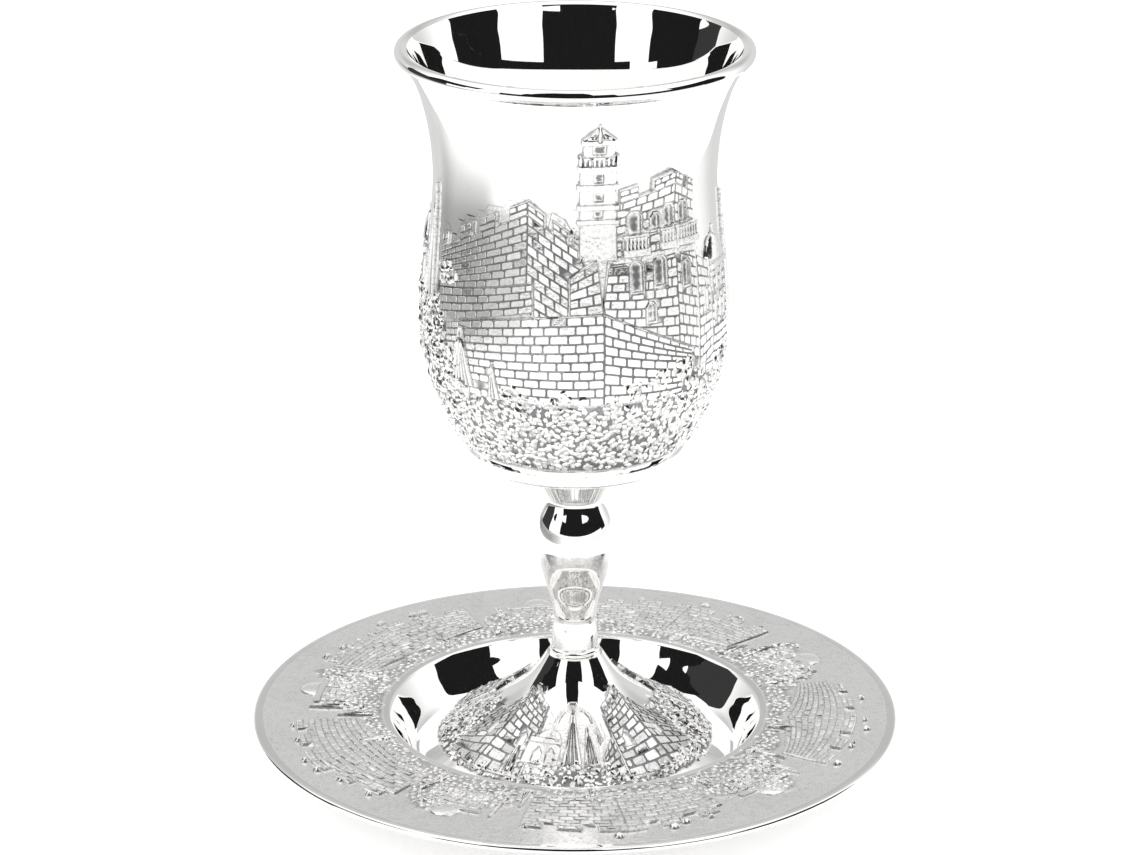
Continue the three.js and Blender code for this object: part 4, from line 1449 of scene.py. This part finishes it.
def light_studio(scene):
    """An even light that first reflections see with a grey wall behind and a darker floor to the left."""
    world = bpy.data.worlds.new("studio")
    scene.world = world
    world.use_nodes = True
    world.node_tree.nodes.clear()
    w = Wiring(world.node_tree)
    ray = w.node("ShaderNodeTexCoord").outputs["Generated"]
    x, y, z = w.node("ShaderNodeSeparateXYZ", {"Vector": ray}).outputs
    behind = w.math("MULTIPLY", w.ramp(y, (0.3, 0.0), (0.8, 1.0), smooth=True),
                    w.ramp(z, (0.2, 0.72), (0.44, 1.0), (0.56, 0.8), (0.75, 0.0), smooth=True))
    under = w.ramp(w.math("ADD", z, 0.5), (0.16, 0.0), (0.3, 1.0), (0.48, 1.0), (0.52, 0.0))
    leftwards = w.ramp(w.math("MULTIPLY", x, -1.0), (0.45, 0.0), (0.95, 0.8), smooth=True)
    lower = w.math("MULTIPLY", under, leftwards)
    shaded = w.math("ADD", w.math("MULTIPLY", behind, WALL_SHADE), w.math("MULTIPLY", lower, FLOOR_SHADE))
    light = w.math("SUBTRACT", 1.0, w.math("MULTIPLY", shaded, first_reflection(w)), clamp=True)
    glossy = w.node("ShaderNodeLightPath").outputs["Is Glossy Ray"]
    colour = w.mix(glossy, WHITE, w.mix(light, BLACK, WHITE))
    back = w.node("ShaderNodeBackground", {"Color": colour, "Strength": LIGHT})
    w.node("ShaderNodeOutputWorld", {"Surface": back.outputs[0]})
    scene.view_settings.view_transform = "Standard"


class KIDDUSH_OT_stage(bpy.types.Operator):
    """Sets the floor, the studio light and the camera"""
    bl_idname = "kiddush.stage"
    bl_label = "Stage"

    def execute(self, context):
        data = bpy.data.cameras.new("camera")
        data.lens = CAMERA_LENS
        data.sensor_width = 36.0
        data.clip_start, data.clip_end = 0.05, 20.0
        camera = bpy.data.objects.new("camera", data)
        camera.location = CAMERA_PLACE
        camera.rotation_euler = (math.pi / 2 - CAMERA_PITCH, 0, 0)
        context.scene.collection.objects.link(camera)
        bpy.context.scene.camera = camera
        lay_floor()
        hang_cards()
        lay_shade()
        light_studio(context.scene)
        return {"FINISHED"}


class KIDDUSH_PT_panel(bpy.types.Panel):
    """Sizes, finishes and pieces of the cup"""
    bl_label = "Kiddush Cup"
    bl_idname = "KIDDUSH_PT_panel"
    bl_space_type = "VIEW_3D"
    bl_region_type = "UI"
    bl_category = "Kiddush Cup"

    def draw(self, context):
        settings = settings_of(context)
        column = self.layout.column()
        for name in KiddushCupSettings.__annotations__:
            column.prop(settings, name)
        for operator in PIECES:
            self.layout.operator(operator.bl_idname)


PIECES = (KIDDUSH_OT_bowl, KIDDUSH_OT_stem, KIDDUSH_OT_foot, KIDDUSH_OT_saucer, KIDDUSH_OT_stage)


def register():
    for item in (KiddushCupSettings, *PIECES, KIDDUSH_PT_panel):
        bpy.utils.register_class(item)
    bpy.types.Scene.kiddush_cup = bpy.props.PointerProperty(type=KiddushCupSettings)


def unregister():
    del bpy.types.Scene.kiddush_cup
    for item in (KIDDUSH_PT_panel, *reversed(PIECES), KiddushCupSettings):
        bpy.utils.unregister_class(item)


def main():
    register()
    bpy.ops.kiddush.bowl()
    bpy.ops.kiddush.stem()
    bpy.ops.kiddush.foot()
    bpy.ops.kiddush.saucer()
    bpy.ops.kiddush.stage()


if __name__ == "__main__":
    main()
